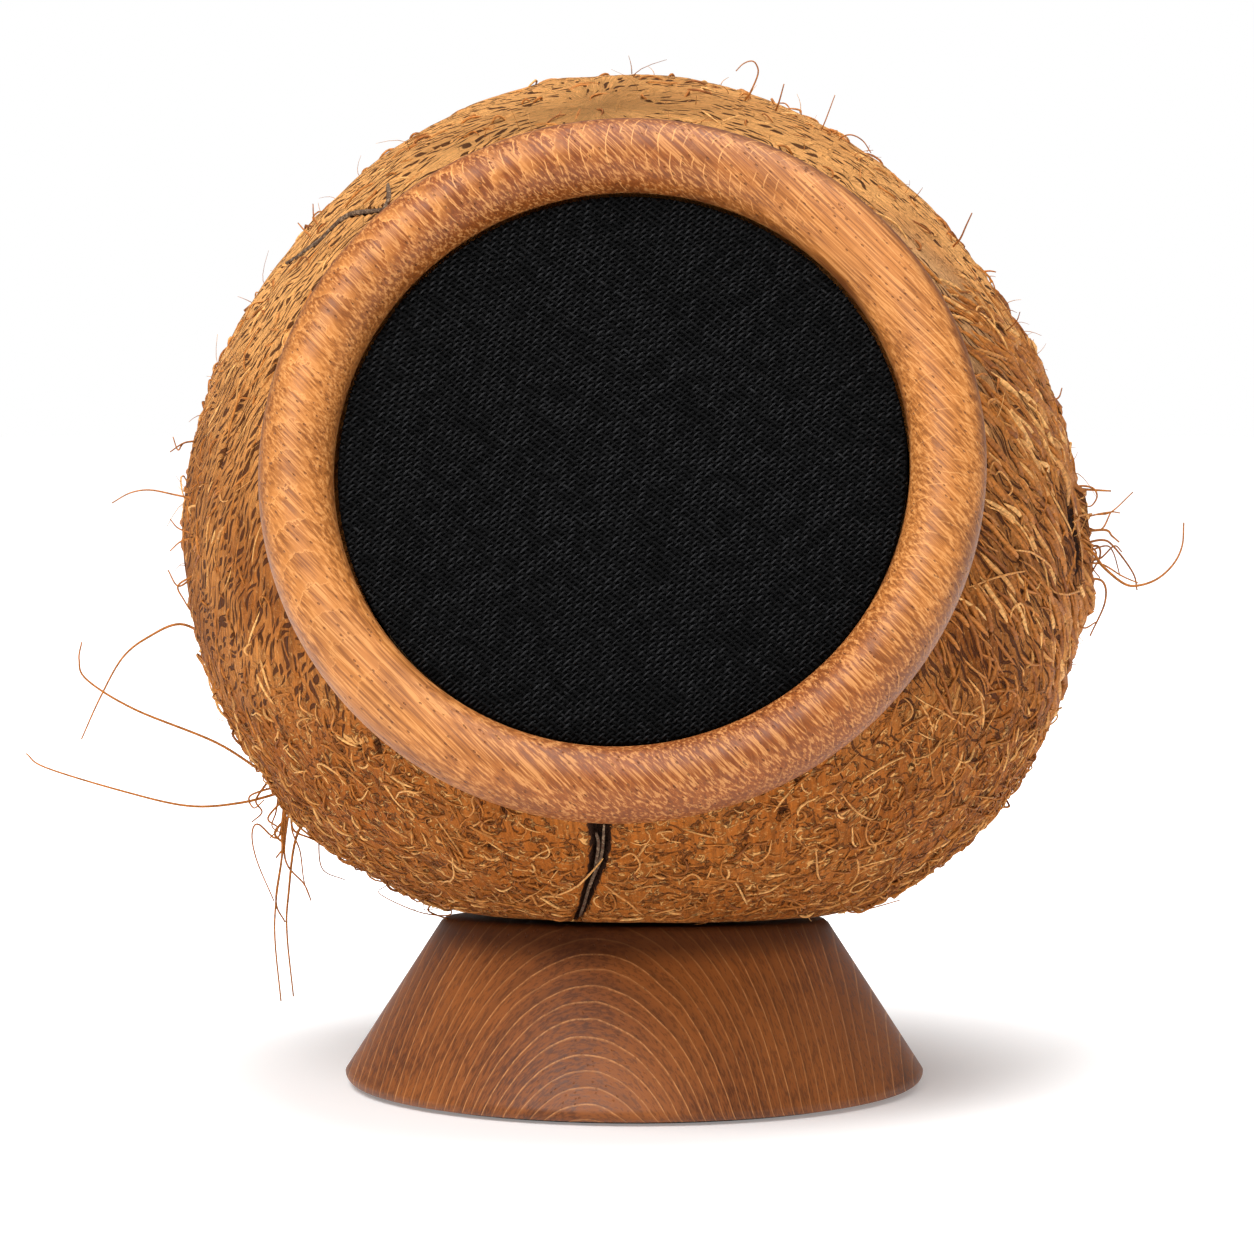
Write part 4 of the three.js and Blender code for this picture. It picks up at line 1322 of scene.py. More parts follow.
def plywood_material():
    """Bare plywood: veneers through its thickness and a pale grain."""
    material, graph, shader = new_material("plywood", Roughness=0.75)
    matrix = mouth_matrix()
    through = matrix.to_3x3() @ Vector((0.0, 0.0, 1.0))
    layers = graph.group(growth_layers(), {
        "Vector": radial_place(graph, matrix @ Vector(PLY_PITH), matrix.to_3x3() @ Vector(PLY_GRAIN)),
        "Spacing": 4 * MM, "Waviness": 6 * MM, "Line": 0.3, "Pore Length": 4 * MM,
        "Grain Scale": (2500.0, 100.0, 2500.0)})
    depth = graph.add("VectorMath", {0: graph.object_place(), 1: through}, operation="DOT_PRODUCT")["Value"]
    veneer = graph.math("PINGPONG", depth, VENEER)
    tint = graph.mix(layers["Lines"], (0.58, 0.40, 0.22), (0.42, 0.26, 0.12))
    tint = graph.mix(graph.range(veneer, 0.5 * MM, 0.7 * MM, 0.0, 0.4), tint, (0.30, 0.17, 0.08))
    graph.feed(shader, Base_Color=tint, Normal=graph.bump(layers["Height"], 0.1 * MM, 0.4))
    return material


def woven_material(slot, thread, pitch, **constants):
    """Woven or dipped cloth: two crossing waves of threads over a fine grain."""
    material, graph, shader = new_material(slot, **constants)
    spot = graph.object_place()
    parts = graph.split(spot)
    weave = graph.math("SINE", parts[0] * (TAU / pitch)) * graph.math("SINE", parts[2] * (TAU / pitch))
    relief = weave + graph.noise(spot, 1.2 / pitch, 2.0, 0.6)
    lighter = tuple(min(1.0, 1.8 * value) for value in thread)
    graph.feed(shader, Base_Color=graph.mix(graph.range(relief, -0.3, 1.4), thread, lighter),
               Normal=graph.bump(relief, pitch * 0.3, 0.7))
    return material


# Finish of each plain slot: colour, roughness, grain size, strength of the grain, metallic share
PLAIN_FINISHES = {
    "black_plastic": ((0.022, 0.022, 0.024), 0.42, 0.5 * MM, 0.35, 0.0),
    "red_plastic": ((0.42, 0.018, 0.014), 0.38, 0.5 * MM, 0.3, 0.0),
    "gasket_foam": ((0.035, 0.035, 0.038), 0.95, 0.9 * MM, 1.0, 0.0),
    "black_steel": ((0.030, 0.031, 0.034), 0.40, 0.3 * MM, 0.3, 0.4),
    "surround_rubber": ((0.018, 0.018, 0.018), 0.62, 0.6 * MM, 0.3, 0.0),
    "cone_paper": ((0.045, 0.041, 0.037), 0.88, 1.1 * MM, 0.9, 0.0),
    "copper_wire": ((0.62, 0.24, 0.09), 0.30, 0.6 * MM, 0.5, 1.0),
    "zinc_steel": ((0.60, 0.62, 0.64), 0.32, 0.4 * MM, 0.2, 1.0),
    "ferrite": ((0.060, 0.060, 0.066), 0.55, 0.7 * MM, 0.6, 0.0),
    "brass": ((0.74, 0.50, 0.18), 0.24, 0.4 * MM, 0.15, 1.0),
}


def carried_materials():
    """The finish of each slot of the carried-over nodes."""
    finishes = {slot: surface_material(slot, *finish) for slot, finish in PLAIN_FINISHES.items()}
    finishes["plywood"] = plywood_material()
    finishes["spider_cloth"] = woven_material("spider_cloth", (0.46, 0.27, 0.07), 1.2 * MM, Roughness=0.7)
    finishes["pad_felt"] = woven_material(
        "pad_felt", (0.060, 0.052, 0.045), 0.7 * MM, Roughness=0.97, Sheen_Weight=0.3)
    return finishes


# The husk

CAVITY_ROWS = 18
CAVITY_DEEPEST = -60 * MM
PIT_DEPTH = 0.75 * MM
GROOVE_DEPTH = 2.2 * MM
RELIEF_FADE = 1.6 * MM
REAR_FADE = 1.5 * MM


def husk_outside(form, angle):
    """Rows from the flat rear face to the mouth's planed face, closer together towards the mouth."""
    nut, mouth = settings("nut"), settings("mouth")

    def past_face(bend):
        return mouth_height(form.point(-np.cos(bend), angle)) > mouth.face

    rear = math.acos(nut.rear_plane / nut.rear_length)
    front = first_true(np.full(nut.columns, math.pi / 2), np.full(nut.columns, math.pi - 0.01), past_face)
    step = np.linspace(0, 1, nut.rows)[:, None]
    bend = rear + (front - rear) * (step * (1 + 0.45 * (1 - step)))
    return form.point(-np.cos(bend), np.broadcast_to(angle, bend.shape))


def husk_inside(form, angle, rim):
    """Rows that go on from the outside's front rim: the planed face, the bore, the cavity and the rear
    hole."""
    nut, mouth = settings("nut"), settings("mouth")
    matrix = np.array(mouth_matrix())
    local = (rim - matrix[:3, 3]) @ matrix[:3, :3]
    turned_by = np.arctan2(local[:, 1], local[:, 0])
    circle = mouth.bore * np.stack([np.cos(turned_by), np.sin(turned_by)], axis=-1)

    def bore_row(height):
        heights = np.broadcast_to(height, angle.shape)
        return placed(np.concatenate([circle, heights[:, None]], axis=1), matrix)

    def in_cavity(height):
        return form.measure(bore_row(height)) < 1 - nut.wall / nut.radius

    deep = first_true(np.full(nut.columns, mouth.face), np.full(nut.columns, CAVITY_DEEPEST), in_cavity)
    face = between(rim, bore_row(mouth.face), (0.35, 0.7, 1.0))
    bore = np.stack([bore_row(mouth.face + (deep - mouth.face) * part) for part in (0.4, 0.8, 1.0)])

    start = bore[-1] - form.centre
    start_angle = np.arctan2(start @ form.up, start @ form.side)
    start_angle = angle + (start_angle - angle + math.pi) % TAU - math.pi
    start_bend = math.pi - np.arccos(np.clip(start @ form.axis / (nut.front_length - nut.wall), -1, 1))
    hole_bend = math.asin(nut.rear_hole / (nut.radius - nut.wall))
    part = np.linspace(0, 1, CAVITY_ROWS)[1:, None]
    bend = start_bend * (1 - part) + hole_bend * part
    cavity = form.point(-np.cos(bend), start_angle * (1 - part) + angle * part, nut.wall)

    hole_edge = nut.rear_hole * (np.cos(angle)[:, None] * form.side + np.sin(angle)[:, None] * form.up)
    inner_end = (nut.rear_length - nut.wall) * math.cos(hole_bend)
    distances = (inner_end, (inner_end + nut.rear_plane) / 2, nut.rear_plane)
    hole = np.stack([form.centre - distance * form.axis + hole_edge for distance in distances])
    return np.concatenate([face, bore, cavity, hole])


def husk_grid(form):
    """The closed skin of the nut as rows round its axis: the outside, the inside and the flat rear face.
    Gives the number of rows outside too."""
    nut = settings("nut")
    angle = TAU * np.arange(nut.columns) / nut.columns
    outside = husk_outside(form, angle)
    inside = husk_inside(form, angle, outside[-1])
    rear_face = between(inside[-1], outside[0], (0.4, 0.8))
    return np.concatenate([outside, inside, rear_face]), len(outside)


def build_husk(form):
    """The husk: the nut's grid pushed in and out along its outward direction by its relief, and settled."""
    nut, mouth = settings("nut"), settings("mouth")
    grid, outside_rows = husk_grid(form)
    rows, columns = grid.shape[:2]
    flat = grid.reshape(-1, 3)
    outside = np.arange(rows * columns) < outside_rows * columns
    points = flat[outside]
    zone = zones(form, points)
    pits, grooves = pit_gap(form, points, zone), grooves_gap(form, points)
    behind_face = smooth_step(0, RELIEF_FADE, mouth.face - mouth_height(points))
    off_rear = smooth_step(0, REAR_FADE, nut.rear_plane + (points - form.centre) @ form.axis)
    relief = lumps(form, points, zone) - PIT_DEPTH * smooth_step(1.0, 0.45, pits)
    relief -= GROOVE_DEPTH * smooth_step(1.0, 0.3, grooves)
    moved = flat.copy()
    moved[outside] = settled(points + (relief * behind_face * off_rear)[:, None] * form.outward(points))
    attributes = {"grain": form.grain(flat)}
    for label, values in (("pit_gap", pits), ("groove_gap", grooves), *zone.items()):
        attributes[label] = np.full(len(flat), FAR_GAP if label.endswith("gap") else 0.0)
        attributes[label][outside] = values
    piece = new_mesh("husk", moved, [ring_faces(rows, columns, True)[:, ::-1]], attributes)
    return finished(piece, husk_material(), ["coconut"])


# Fibres on the husk

FIBRE_SIDES = 3
FIBRE_TIP = 0.35
FACE_GAP = 0.1 * MM
REAR_GAP = 1.0 * MM
SEAT_GAP = 0.4 * MM
GROOVE_KEEP_OFF = 0.8
LAID_PIECES = 3
LAID_SEED = 100
LAID_STEPS = 5
LAID_LEAN = 0.45
LEAN_REACH = 50 * MM
HAIR_STEPS = 5
HAIR_RADIUS = 0.085 * MM


def spread_on_nut(form, rng, number):
    """Points spread over the nut: random directions, put onto its surface."""
    return form.onto(form.centre + unit(rng.normal(size=(number, 3))) * settings("nut").radius)


def walked(form, starts, heading, turning, reach, steps):
    """Paths that walk over the smooth nut from their starts: each step goes along the fibres' direction
    turned by the heading, and the heading changes a little at each step, by the turning in all."""
    points, path = starts, [starts]
    for _ in range(steps):
        outward = form.outward(points)
        ahead = form.along_fibres(outward)
        across = np.cross(outward, ahead)
        step = np.cos(heading)[:, None] * ahead + np.sin(heading)[:, None] * across
        points = form.onto(points + (reach / steps)[:, None] * step)
        heading = heading + turning / steps
        path.append(points)
    return np.stack(path, axis=1)


def clear_of_openings(form, paths):
    """Which paths lie wholly on the husk's outside: behind the mouth's face, off the rear face, over the
    seat."""
    behind = mouth_height(paths) < settings("mouth").face - FACE_GAP
    off_rear = (paths - form.centre) @ form.axis > REAR_GAP - settings("nut").rear_plane
    over = seat_height(paths)[0] > SEAT_GAP
    return (behind & off_rear & over).all(axis=1)


def relief_on(form, paths):
    """The husk's broad relief and the outward direction at each point of many paths."""
    flat = paths.reshape(-1, 3)
    relief = lumps(form, flat, zones(form, flat)).reshape(paths.shape[:2])
    return relief, form.outward(flat).reshape(paths.shape)


def lay_fibres(form, name, starts, heading, turning, reach, steps, radius, lift, tone):
    """Fibres on the husk: walked paths that cross no groove, raised by the broad relief and by a bow that is
    highest in the middle, and thinner at both ends."""
    paths = walked(form, starts, heading, turning, reach, steps)
    kept = clear_of_openings(form, paths)
    gaps = grooves_gap(form, paths.reshape(-1, 3)).reshape(paths.shape[:2])
    kept &= (gaps > GROOVE_KEEP_OFF).all(axis=1)
    paths, radius, lift, tone = paths[kept], radius[kept, None], lift[kept, None], tone[kept, None]
    relief, outward = relief_on(form, paths)
    bow = np.sin(math.pi * np.linspace(0, 1, steps + 1))[None, :]
    rise = relief + lift * bow - radius * 0.9 * (1 - bow)
    radii = radius * (FIBRE_TIP + (1 - FIBRE_TIP) * bow**0.5)
    paths = settled(paths + rise[..., None] * outward)
    return tube_mesh(name, paths, outward, radii, FIBRE_SIDES, {"tone": tone})


def build_laid_fibres(form):
    """Fibres that lie along the grain: dense and straight in the bundles, few and flush where the husk is
    sanded. They lean one way on the left and the other way on the right."""
    fibre = settings("fibre")
    for i in range(LAID_PIECES):
        rng = np.random.default_rng(LAID_SEED + i)
        starts = spread_on_nut(form, rng, fibre.laid)
        zone = zones(form, starts)
        keen = 0.035 + 0.36 * zone["bundled"] + 0.06 * zone["matted"]
        kept = rng.random(fibre.laid) < keen
        starts, zone = starts[kept], {label: values[kept] for label, values in zone.items()}
        number = len(starts)
        loose = 0.10 + 0.22 * (1 - zone["bundled"]) + 0.5 * zone["matted"]
        lean = LAID_LEAN * np.clip((starts[:, 0] - form.centre[0]) / LEAN_REACH, -1, 1)
        heading = rng.normal(size=number) * loose + lean + np.where(rng.random(number) < 0.5, math.pi, 0)
        turning = rng.normal(size=number) * (0.25 + 0.5 * loose)
        reach = MM * rng.uniform(5, 15, number) * (0.5 + 0.6 * zone["bundled"])
        radius = fibre.thickness * rng.uniform(0.5, 1.8, number) * (0.60 + 0.90 * zone["bundled"])
        lift = MM * (rng.uniform(-0.16, 0.08, number) + 0.20 * zone["bundled"] - 0.06 * zone["golden"])
        # Fibres are paler towards the top: partly their own tone and partly painted light
        tone = np.clip(rng.normal(0.45, 0.27, number) + 0.12 * zone["golden"], 0, 1)
        piece = lay_fibres(
            form, f"laid_fibres_{i + 1}", starts, heading, turning, reach, LAID_STEPS, radius, lift, tone)
        finished(piece, coir_material())


def build_scattered_fibres(form, name, seed, tries, chance, headings, bend, reach, steps, thickness,
                           lift, tone):
    """Fibres of one kind at points spread over the nut. The chance says how often a point keeps its fibre,
    from its zones. Reach and lift are drawn in millimetres between two values, thickness as a share of a
    laid fibre's, and tone about a middle value."""
    rng = np.random.default_rng(seed)
    starts = spread_on_nut(form, rng, tries)
    starts = starts[rng.random(tries) < chance(zones(form, starts))]
    number = len(starts)
    heading = headings(rng, number)
    turning = rng.normal(size=number) * bend
    reach = MM * rng.uniform(*reach, number)
    radius = settings("fibre").thickness * rng.uniform(*thickness, number)
    lift = MM * rng.uniform(*lift, number)
    tone = np.clip(rng.normal(*tone, number), 0, 1)
    piece = lay_fibres(form, name, starts, heading, turning, reach, steps, radius, lift, tone)
    finished(piece, coir_material())


def build_matted_fibres(form):
    """Short, bent fibres in all directions, under the nut and here and there on its sides."""
    build_scattered_fibres(
        form, "matted_fibres", seed=200, tries=settings("fibre").matted * 4,
        chance=lambda zone: (zone["matted"] + 0.10) * 0.85,
        headings=lambda rng, number: rng.uniform(0, TAU, number),
        bend=2.4, reach=(2, 6.5), steps=6, thickness=(0.55, 1.15), lift=(0.0, 0.60), tone=(0.50, 0.30))


def build_curls(form):
    """Pale curls that lie loose on the sides and the bottom."""
    build_scattered_fibres(
        form, "curled_fibres", seed=300, tries=settings("fibre").curls * 4,
        chance=lambda zone: (0.04 + 0.6 * zone["matted"] + 0.5 * zone["bundled"]) * 0.45,
        headings=lambda rng, number: rng.normal(size=number) * 0.9,
        bend=2.8, reach=(4, 13), steps=9, thickness=(0.55, 0.95), lift=(0.3, 0.9), tone=(0.66, 0.18))


def build_hairs(form):
    """Short hairs that lean to all sides and stand off the husk: each goes outwards in proportion to the way
    along it, and sideways with the square of that way."""
    fibre = settings("fibre")
    rng = np.random.default_rng(400)
    starts = spread_on_nut(form, rng, fibre.hairs * 2)
    starts = starts[clear_of_openings(form, starts[:, None, :])][:fibre.hairs]
    number = len(starts)
    outward = form.outward(starts)
    ahead = form.along_fibres(outward)
    turned_by = rng.uniform(0, TAU, number)[:, None]
    lean = np.cos(turned_by) * ahead + np.sin(turned_by) * np.cross(outward, ahead)
    reach = MM * rng.uniform(1.0, 3.6, number)[:, None, None]
    part = np.linspace(0, 1, HAIR_STEPS)[None, :, None]
    curve = rng.uniform(0.3, 1.6, number)[:, None, None]
    paths = starts[:, None, :] + reach * (
        part * outward[:, None, :] * 0.8 + part**2 * curve * lean[:, None, :])
    thinner = np.linspace(1.0, 0.4, HAIR_STEPS)[None, :]
    radii = (HAIR_RADIUS * rng.uniform(0.6, 1.2, number))[:, None] * thinner
    steady = np.broadcast_to(lean[:, None, :], paths.shape)
    tone = rng.uniform(0.3, 0.95, number)[:, None]
    piece = tube_mesh("standing_hairs", settled(paths), steady, radii, FIBRE_SIDES, {"tone": tone})
    finished(piece, coir_material())


# Strands at the places where the photograph shows them

TRACED_STEPS = 24
TRACED_SIDES = 6
CURL_RADIUS = 0.15 * MM
CURL_LIFT = 0.55 * MM
SEAM_TOP = 600


def traced_on_nut(form, name, routes, radius, lift, tone):
    """Strands that lie on the nut along routes of pixels: each point rides on the relief, and the middle
    bows up."""
    paths = np.stack([form.onto(smooth_path(seen_on_nut(form, route), TRACED_STEPS)) for route in routes])
    relief, outward = relief_on(form, paths)
    bow = np.sin(math.pi * np.linspace(0, 1, TRACED_STEPS + 1))[None, :]
    paths = settled(paths + (relief + lift * bow - 0.4 * radius * (1 - bow))[..., None] * outward)
    radii = radius * np.broadcast_to(0.5 + 0.5 * bow**0.5, paths.shape[:2])
    return tube_mesh(name, paths, outward, radii, TRACED_SIDES, {"tone": tone[:, None]})


def build_traced_curls(form):
    """Pale curls on the surface."""
    tone = np.random.default_rng(500).uniform(0.6, 0.9, len(SURFACE_CURLS))
    piece = traced_on_nut(form, "traced_curls", SURFACE_CURLS, CURL_RADIUS, CURL_LIFT, tone)
    finished(piece, coir_material())


def build_bark_slivers(form):
    """Bark slivers: thin and sunk in the seam, which is the lower groove, and thicker and flush in the
    crack."""
    in_seam = np.array([route[0][1] > SEAM_TOP for route in BARK_SLIVERS])[:, None]
    thickness, depth = np.where(in_seam, 0.26, 0.42) * MM, np.where(in_seam, -0.55, -0.05) * MM
    tone = np.full(len(BARK_SLIVERS), 0.2)
    piece = traced_on_nut(form, "bark_slivers", BARK_SLIVERS, thickness, depth, tone)
    finished(piece, bark_material())


STRAND_STEPS = 24
STRAND_SIDES = 5
STRAND_DRIFT = 5 * MM
ROOT_DEPTH = 0.4 * MM
TUFT_THICKER = 1.35


def build_free_strands(form):
    """Loose strands off the nut: each starts just inside the husk and stays on its pixels' rays, and its
    free end comes a little nearer or goes farther, by an amount that its root's place gives."""
    eye, forward = camera_frame()[:2]
    for tuft, routes in FREE_STRANDS.items():
        paths = []
        for route in routes:
            root = seen_on_nut(form, route[:1])
            depth = (root - eye) @ forward
            drift = STRAND_DRIFT * noise(root / (9 * MM), 71)
            ahead = depth + drift * np.linspace(0, 1, len(route))
            points = eye + ahead[:, None] * pixel_rays(route)
            points[0] = root[0] - ROOT_DEPTH * form.outward(root)[0]
            paths.append(smooth_path(points, STRAND_STEPS))
        paths = np.stack(paths)
        outward = np.broadcast_to(-forward, paths.shape)
        rng = np.random.default_rng(600 + len(routes))
        thick = MM * (TUFT_THICKER if "tuft" in tuft else 1.0)
        thinner = 1.0 - 0.45 * np.linspace(0, 1, STRAND_STEPS + 1)
        radii = thick * rng.uniform(0.11, 0.17, (len(routes), 1)) * thinner
        tone = rng.uniform(0.15, 0.55, (len(routes), 1))
        piece = tube_mesh(
            "free_strands_" + tuft.replace(" ", "_"), paths, outward, radii, STRAND_SIDES, {"tone": tone})
        finished(piece, coir_material())


# Each loose strand's own route, in millimetres
LOOSE_COIR = {
    "left": (
        (-58, 12, 62), (-62.1, 8, 63), (-66.6, 6, 65.2), (-71.1, 5, 63.4), (-75, 5, 60.3), (-78.4, 5, 54.3),
        (-81.1, 5, 48.4)),
    "lower_left": (
        (-46, 14, 40), (-53.7, 11, 42.4), (-62.1, 10, 47.6), (-74, 9, 52.5), (-81, 9, 56.8), (-82.1, 9, 59.7),
        (-81.7, 9, 62.3)),
    "long": (
        (-45, 4, 42), (-50.6, 4, 41.2), (-57.3, 2, 39.6), (-64.7, 0, 39.3), (-74, -2, 41.6), (-84.9, -3, 45),
        (-87.7, -3, 47)),
    "hanging": ((-45, 8, 39), (-49.6, 7, 35), (-51, 6, 25.5), (-51.2, 6, 20), (-50.3, 6, 10.9)),
    "right": (
        (60, 8, 78), (64.8, 6, 76.6), (66.9, 6, 74.1), (69.9, 6, 71.7), (72.1, 6, 71.5), (74.7, 6, 72.5),
        (76.9, 6, 74.6), (78.1, 6, 77.2), (78.3, 6, 80.5)),
}
LOOSE_STEPS = 8
LOOSE_SIDES = 8
LOOSE_OUTWARD = (0.0, -1.0, 0.15)


def build_loose_coir():
    """The coarse strands: each along a smooth curve through its points, thinner towards the free end."""
    for strand, route in LOOSE_COIR.items():
        steps = LOOSE_STEPS * (len(route) - 1)
        path = smooth_path(np.array(route, float) * MM, steps)[None]
        outward = np.broadcast_to(LOOSE_OUTWARD, path.shape)
        radii = settings("fibre").loose * (1.0 - 0.55 * np.linspace(0, 1, steps + 1))[None]
        tone = np.full((1, 1), 0.45)
        piece = tube_mesh(f"loose_coir_{strand}", path, outward, radii, LOOSE_SIDES, {"tone": tone})
        finished(piece, coir_material(), [f"coir_strand_{strand}"])


# The turned ring

RING_COLUMNS = 640
RING_ROWS = 45
# Turns of the tube over which the edge bands rise; the outer band is partly dark wood and partly painted
# shade, the inner one is painted shade, and both are deepest at the upper right
OUTER_BAND = (66, 14)
INNER_SHADE = (142, 172)
INNER_SHADE_STRENGTH = 0.75
SHADIEST_AT = 62


def build_ring():
    """The turned ring: a circle cut off by its flat back, turned about the mouth's axis. Its outer edge and,
    more weakly, its inner edge carry a dark band with a ragged border, strongest at the upper right: at the
    outer edge it is partly the wood's own dark band and partly painted shade, and at the inner edge it is
    painted shade towards the cloth."""
    mouth = settings("mouth")
    low = math.asin(mouth.ring_back / mouth.ring_tube)
    angle = np.linspace(low, math.pi - low, RING_ROWS)
    circle = np.stack([np.cos(angle), np.sin(angle)], axis=-1)
    section = np.array([mouth.ring_middle, 0.0]) + mouth.ring_tube * circle
    back = between(section[-1], section[0], (0.2, 0.4, 0.6, 0.8))
    profile = np.concatenate([section, back])
    local = turned_points(profile, RING_COLUMNS).reshape(-1, 3)
    outer = smooth_step(*np.radians(OUTER_BAND), angle)
    edges = np.maximum(outer, INNER_SHADE_STRENGTH * smooth_step(*np.radians(INNER_SHADE), angle))
    edges = np.repeat(np.concatenate([edges, np.ones(len(back))]), RING_COLUMNS)
    ragged = edges + 0.28 * noise(local / (16 * MM), 50) + 0.22 * noise(local / (5 * MM), 51)
    ragged += 0.12 * noise(local / (1.6 * MM), 52)
    turned_by = np.tile(TAU * np.arange(RING_COLUMNS) / RING_COLUMNS, len(profile))
    # Painted shade: the edge bands are strongest at the upper right
    strength = 0.66 + 0.34 * np.cos(turned_by - math.radians(SHADIEST_AT))
    faces = ring_faces(len(profile), RING_COLUMNS, True)
    piece = new_mesh("turned_ring", placed(local, mouth_matrix()), [faces], {
        "edge_band_and_shade": smooth_step(0.30, 1.05, ragged) * strength})
    finished(piece, ring_wood_material(), ["front_ring"])


# The grille cloth

CLOTH_COLUMNS = 160
CLOTH_ROWS = 30
CLOTH_FACE = 0.30 * MM
CLOTH_BACK = 0.62 * MM
RIM_GAP = 0.3 * MM
SHORTEST_THREAD = 2 * MM
THREAD_SIDES = 3
THREAD_FILL = 0.40
THREAD_WANDER = 0.16 * MM


def cloth_height(radius):
    """The cloth's dome: highest in the middle and falling with the square of the radius."""
    mouth = settings("mouth")
    return mouth.cloth_edge + mouth.cloth_crown * (1 - (radius / mouth.cloth_radius) ** 2)


def build_cloth():
    """The cloth's ground under its threads: a thin domed disc whose rows run in over the face and out over
    the back, closed by a rim and round a pinhole at the middle."""
    radii = np.linspace(settings("mouth").cloth_radius, 0.4 * MM, CLOTH_ROWS)
    face = np.stack([radii, cloth_height(radii) - CLOTH_FACE], axis=-1)
    back = np.stack([radii, cloth_height(radii) - CLOTH_BACK], axis=-1)[::-1]
    profile = np.concatenate([face, back])
    local = turned_points(profile, CLOTH_COLUMNS).reshape(-1, 3)
    faces = ring_faces(len(profile), CLOTH_COLUMNS, True)
    tones = {"tone": np.zeros(len(local))}
    return new_mesh("grille_cloth_ground", placed(local, mouth_matrix()), [faces], tones)


def cloth_threads(name, step_along, step_across, flip, swing, brightness, seed):
    """Threads of a skew plain weave. A thread runs along its own step, from crossing to crossing, over one
    crossing thread and under the next: its height is a cosine that turns half a turn for each step. Its
    neighbour is one step across, and starts half a turn later."""
    cloth_radius = settings("mouth").cloth_radius
    rng = np.random.default_rng(seed)
    reach = np.linalg.norm(step_along)
    ahead = step_along / reach
    aside = np.array([-ahead[1], ahead[0]])
    pitch = abs(step_across @ aside)
    threads = int(2 * cloth_radius / pitch) - 1
    number = (np.arange(threads) - (threads - 1) // 2)[:, None]
    offset = number * pitch
    half = np.sqrt(np.maximum(cloth_radius**2 - (np.abs(offset) + RIM_GAP) ** 2, SHORTEST_THREAD**2))
    along = half * np.linspace(-1, 1, int(4 * cloth_radius / reach))
    on_cloth = np.stack([along, np.broadcast_to(offset, along.shape), np.zeros(along.shape)], axis=-1)
    side = offset + THREAD_WANDER * noise(on_cloth / (6 * MM) + seed, seed)
    shift = number * (step_across @ ahead) * np.sign(step_across @ aside)
    turned_by = math.pi * ((along - shift) / reach + number + flip)
    flat = along[..., None] * ahead + side[..., None] * aside
    height = cloth_height(np.linalg.norm(flat, axis=-1)) + swing * np.cos(turned_by)
    matrix = mouth_matrix()
    paths = placed(np.concatenate([flat, height[..., None]], axis=-1), matrix)
    outward = np.broadcast_to(np.array(matrix)[:3, 2], paths.shape)
    slubs = 1 + 0.30 * noise(paths / (1.4 * MM), seed + 2)
    radii = pitch * THREAD_FILL * rng.uniform(0.85, 1.1, (threads, 1)) * slubs
    tone = rng.normal(brightness, 0.07, (threads, 1)) + 0.45 * noise(paths / (1.2 * MM), seed + 1)
    return tube_mesh(name, paths, outward, radii, THREAD_SIDES, {"tone": np.clip(tone, 0, 1)})


def build_grille():
    """The cloth: bold warp threads whose paler tone paints their highlight, flatter dark weft threads, and
    the ground under them.
    """
    mouth = settings("mouth")
    warp_step, weft_step = np.array(mouth.warp_step), np.array(mouth.weft_step)
    threads = (
        # The warp's paler tone is a painted highlight
        cloth_threads("grille_warp", warp_step, weft_step, False, 0.22 * MM, 0.50, 61),
        cloth_threads("grille_weft", weft_step, warp_step, True, 0.15 * MM, 0.02, 62))
    ground = build_cloth()
    for piece in threads:
        finished(piece, cloth_material())
    finished(ground, cloth_material(), ["grille_cloth"])


# The turned base

BASE_COLUMNS = 320
FOOT_ROWS = 8
CONE_ROWS = 36
SEAT_EDGE = 0.5 * MM
SEAT_DROP = 0.15 * MM


def build_base():
    """The turned base: rows follow the recess, the rounded foot, the cone up to the sloping seat, the seat,
    the bolt hole and the counterbore, and the seat's height is worked out at each turn."""
    base = settings("base")
    angle = TAU * np.arange(BASE_COLUMNS) / BASE_COLUMNS
    cone_low = base.lift + base.rounding
    fall = math.tan(base.seat_tilt)
    seat_rim = base.radius - base.slope * (base.seat_height - cone_low)
    seat_rim = seat_rim / (1 - base.slope * np.sin(angle) * fall)

    def seat(radius):
        return base.seat_height - SEAT_DROP - radius * np.sin(angle) * fall

    def row(radius, height):
        radius, height = np.broadcast_to(radius, angle.shape), np.broadcast_to(height, angle.shape)
        return np.stack([radius * np.cos(angle), radius * np.sin(angle), height], axis=-1)

    rows = [row(base.recess_radius, base.recess), row(base.recess_radius, base.lift)]
    for bend in np.linspace(-math.pi / 2, 0, FOOT_ROWS):
        inset, rise = base.rounding * (1 - math.cos(bend)), base.rounding * math.sin(bend)
        rows.append(row(base.radius - inset, cone_low + rise))
    for part in np.linspace(0, 1, CONE_ROWS)[1:]:
        radius = base.radius + (seat_rim + SEAT_EDGE * base.slope - base.radius) * part
        rows.append(row(radius, cone_low + (seat(seat_rim) - SEAT_EDGE - cone_low) * part))
    rows.append(row(seat_rim - 0.6 * SEAT_EDGE, seat(seat_rim)))
    rows.append(row(0.5 * seat_rim, seat(0.5 * seat_rim)))
    rows.append(row(base.hole, seat(base.hole)))
    rows.append(row(base.hole, base.counterbore_top))
    rows.append(row(base.counterbore, base.counterbore_top))
    rows.append(row(base.counterbore, base.recess))
    piece = new_mesh("turned_base", np.concatenate(rows), [ring_faces(len(rows), BASE_COLUMNS, True)])
    finished(piece, base_wood_material(), ["base"])


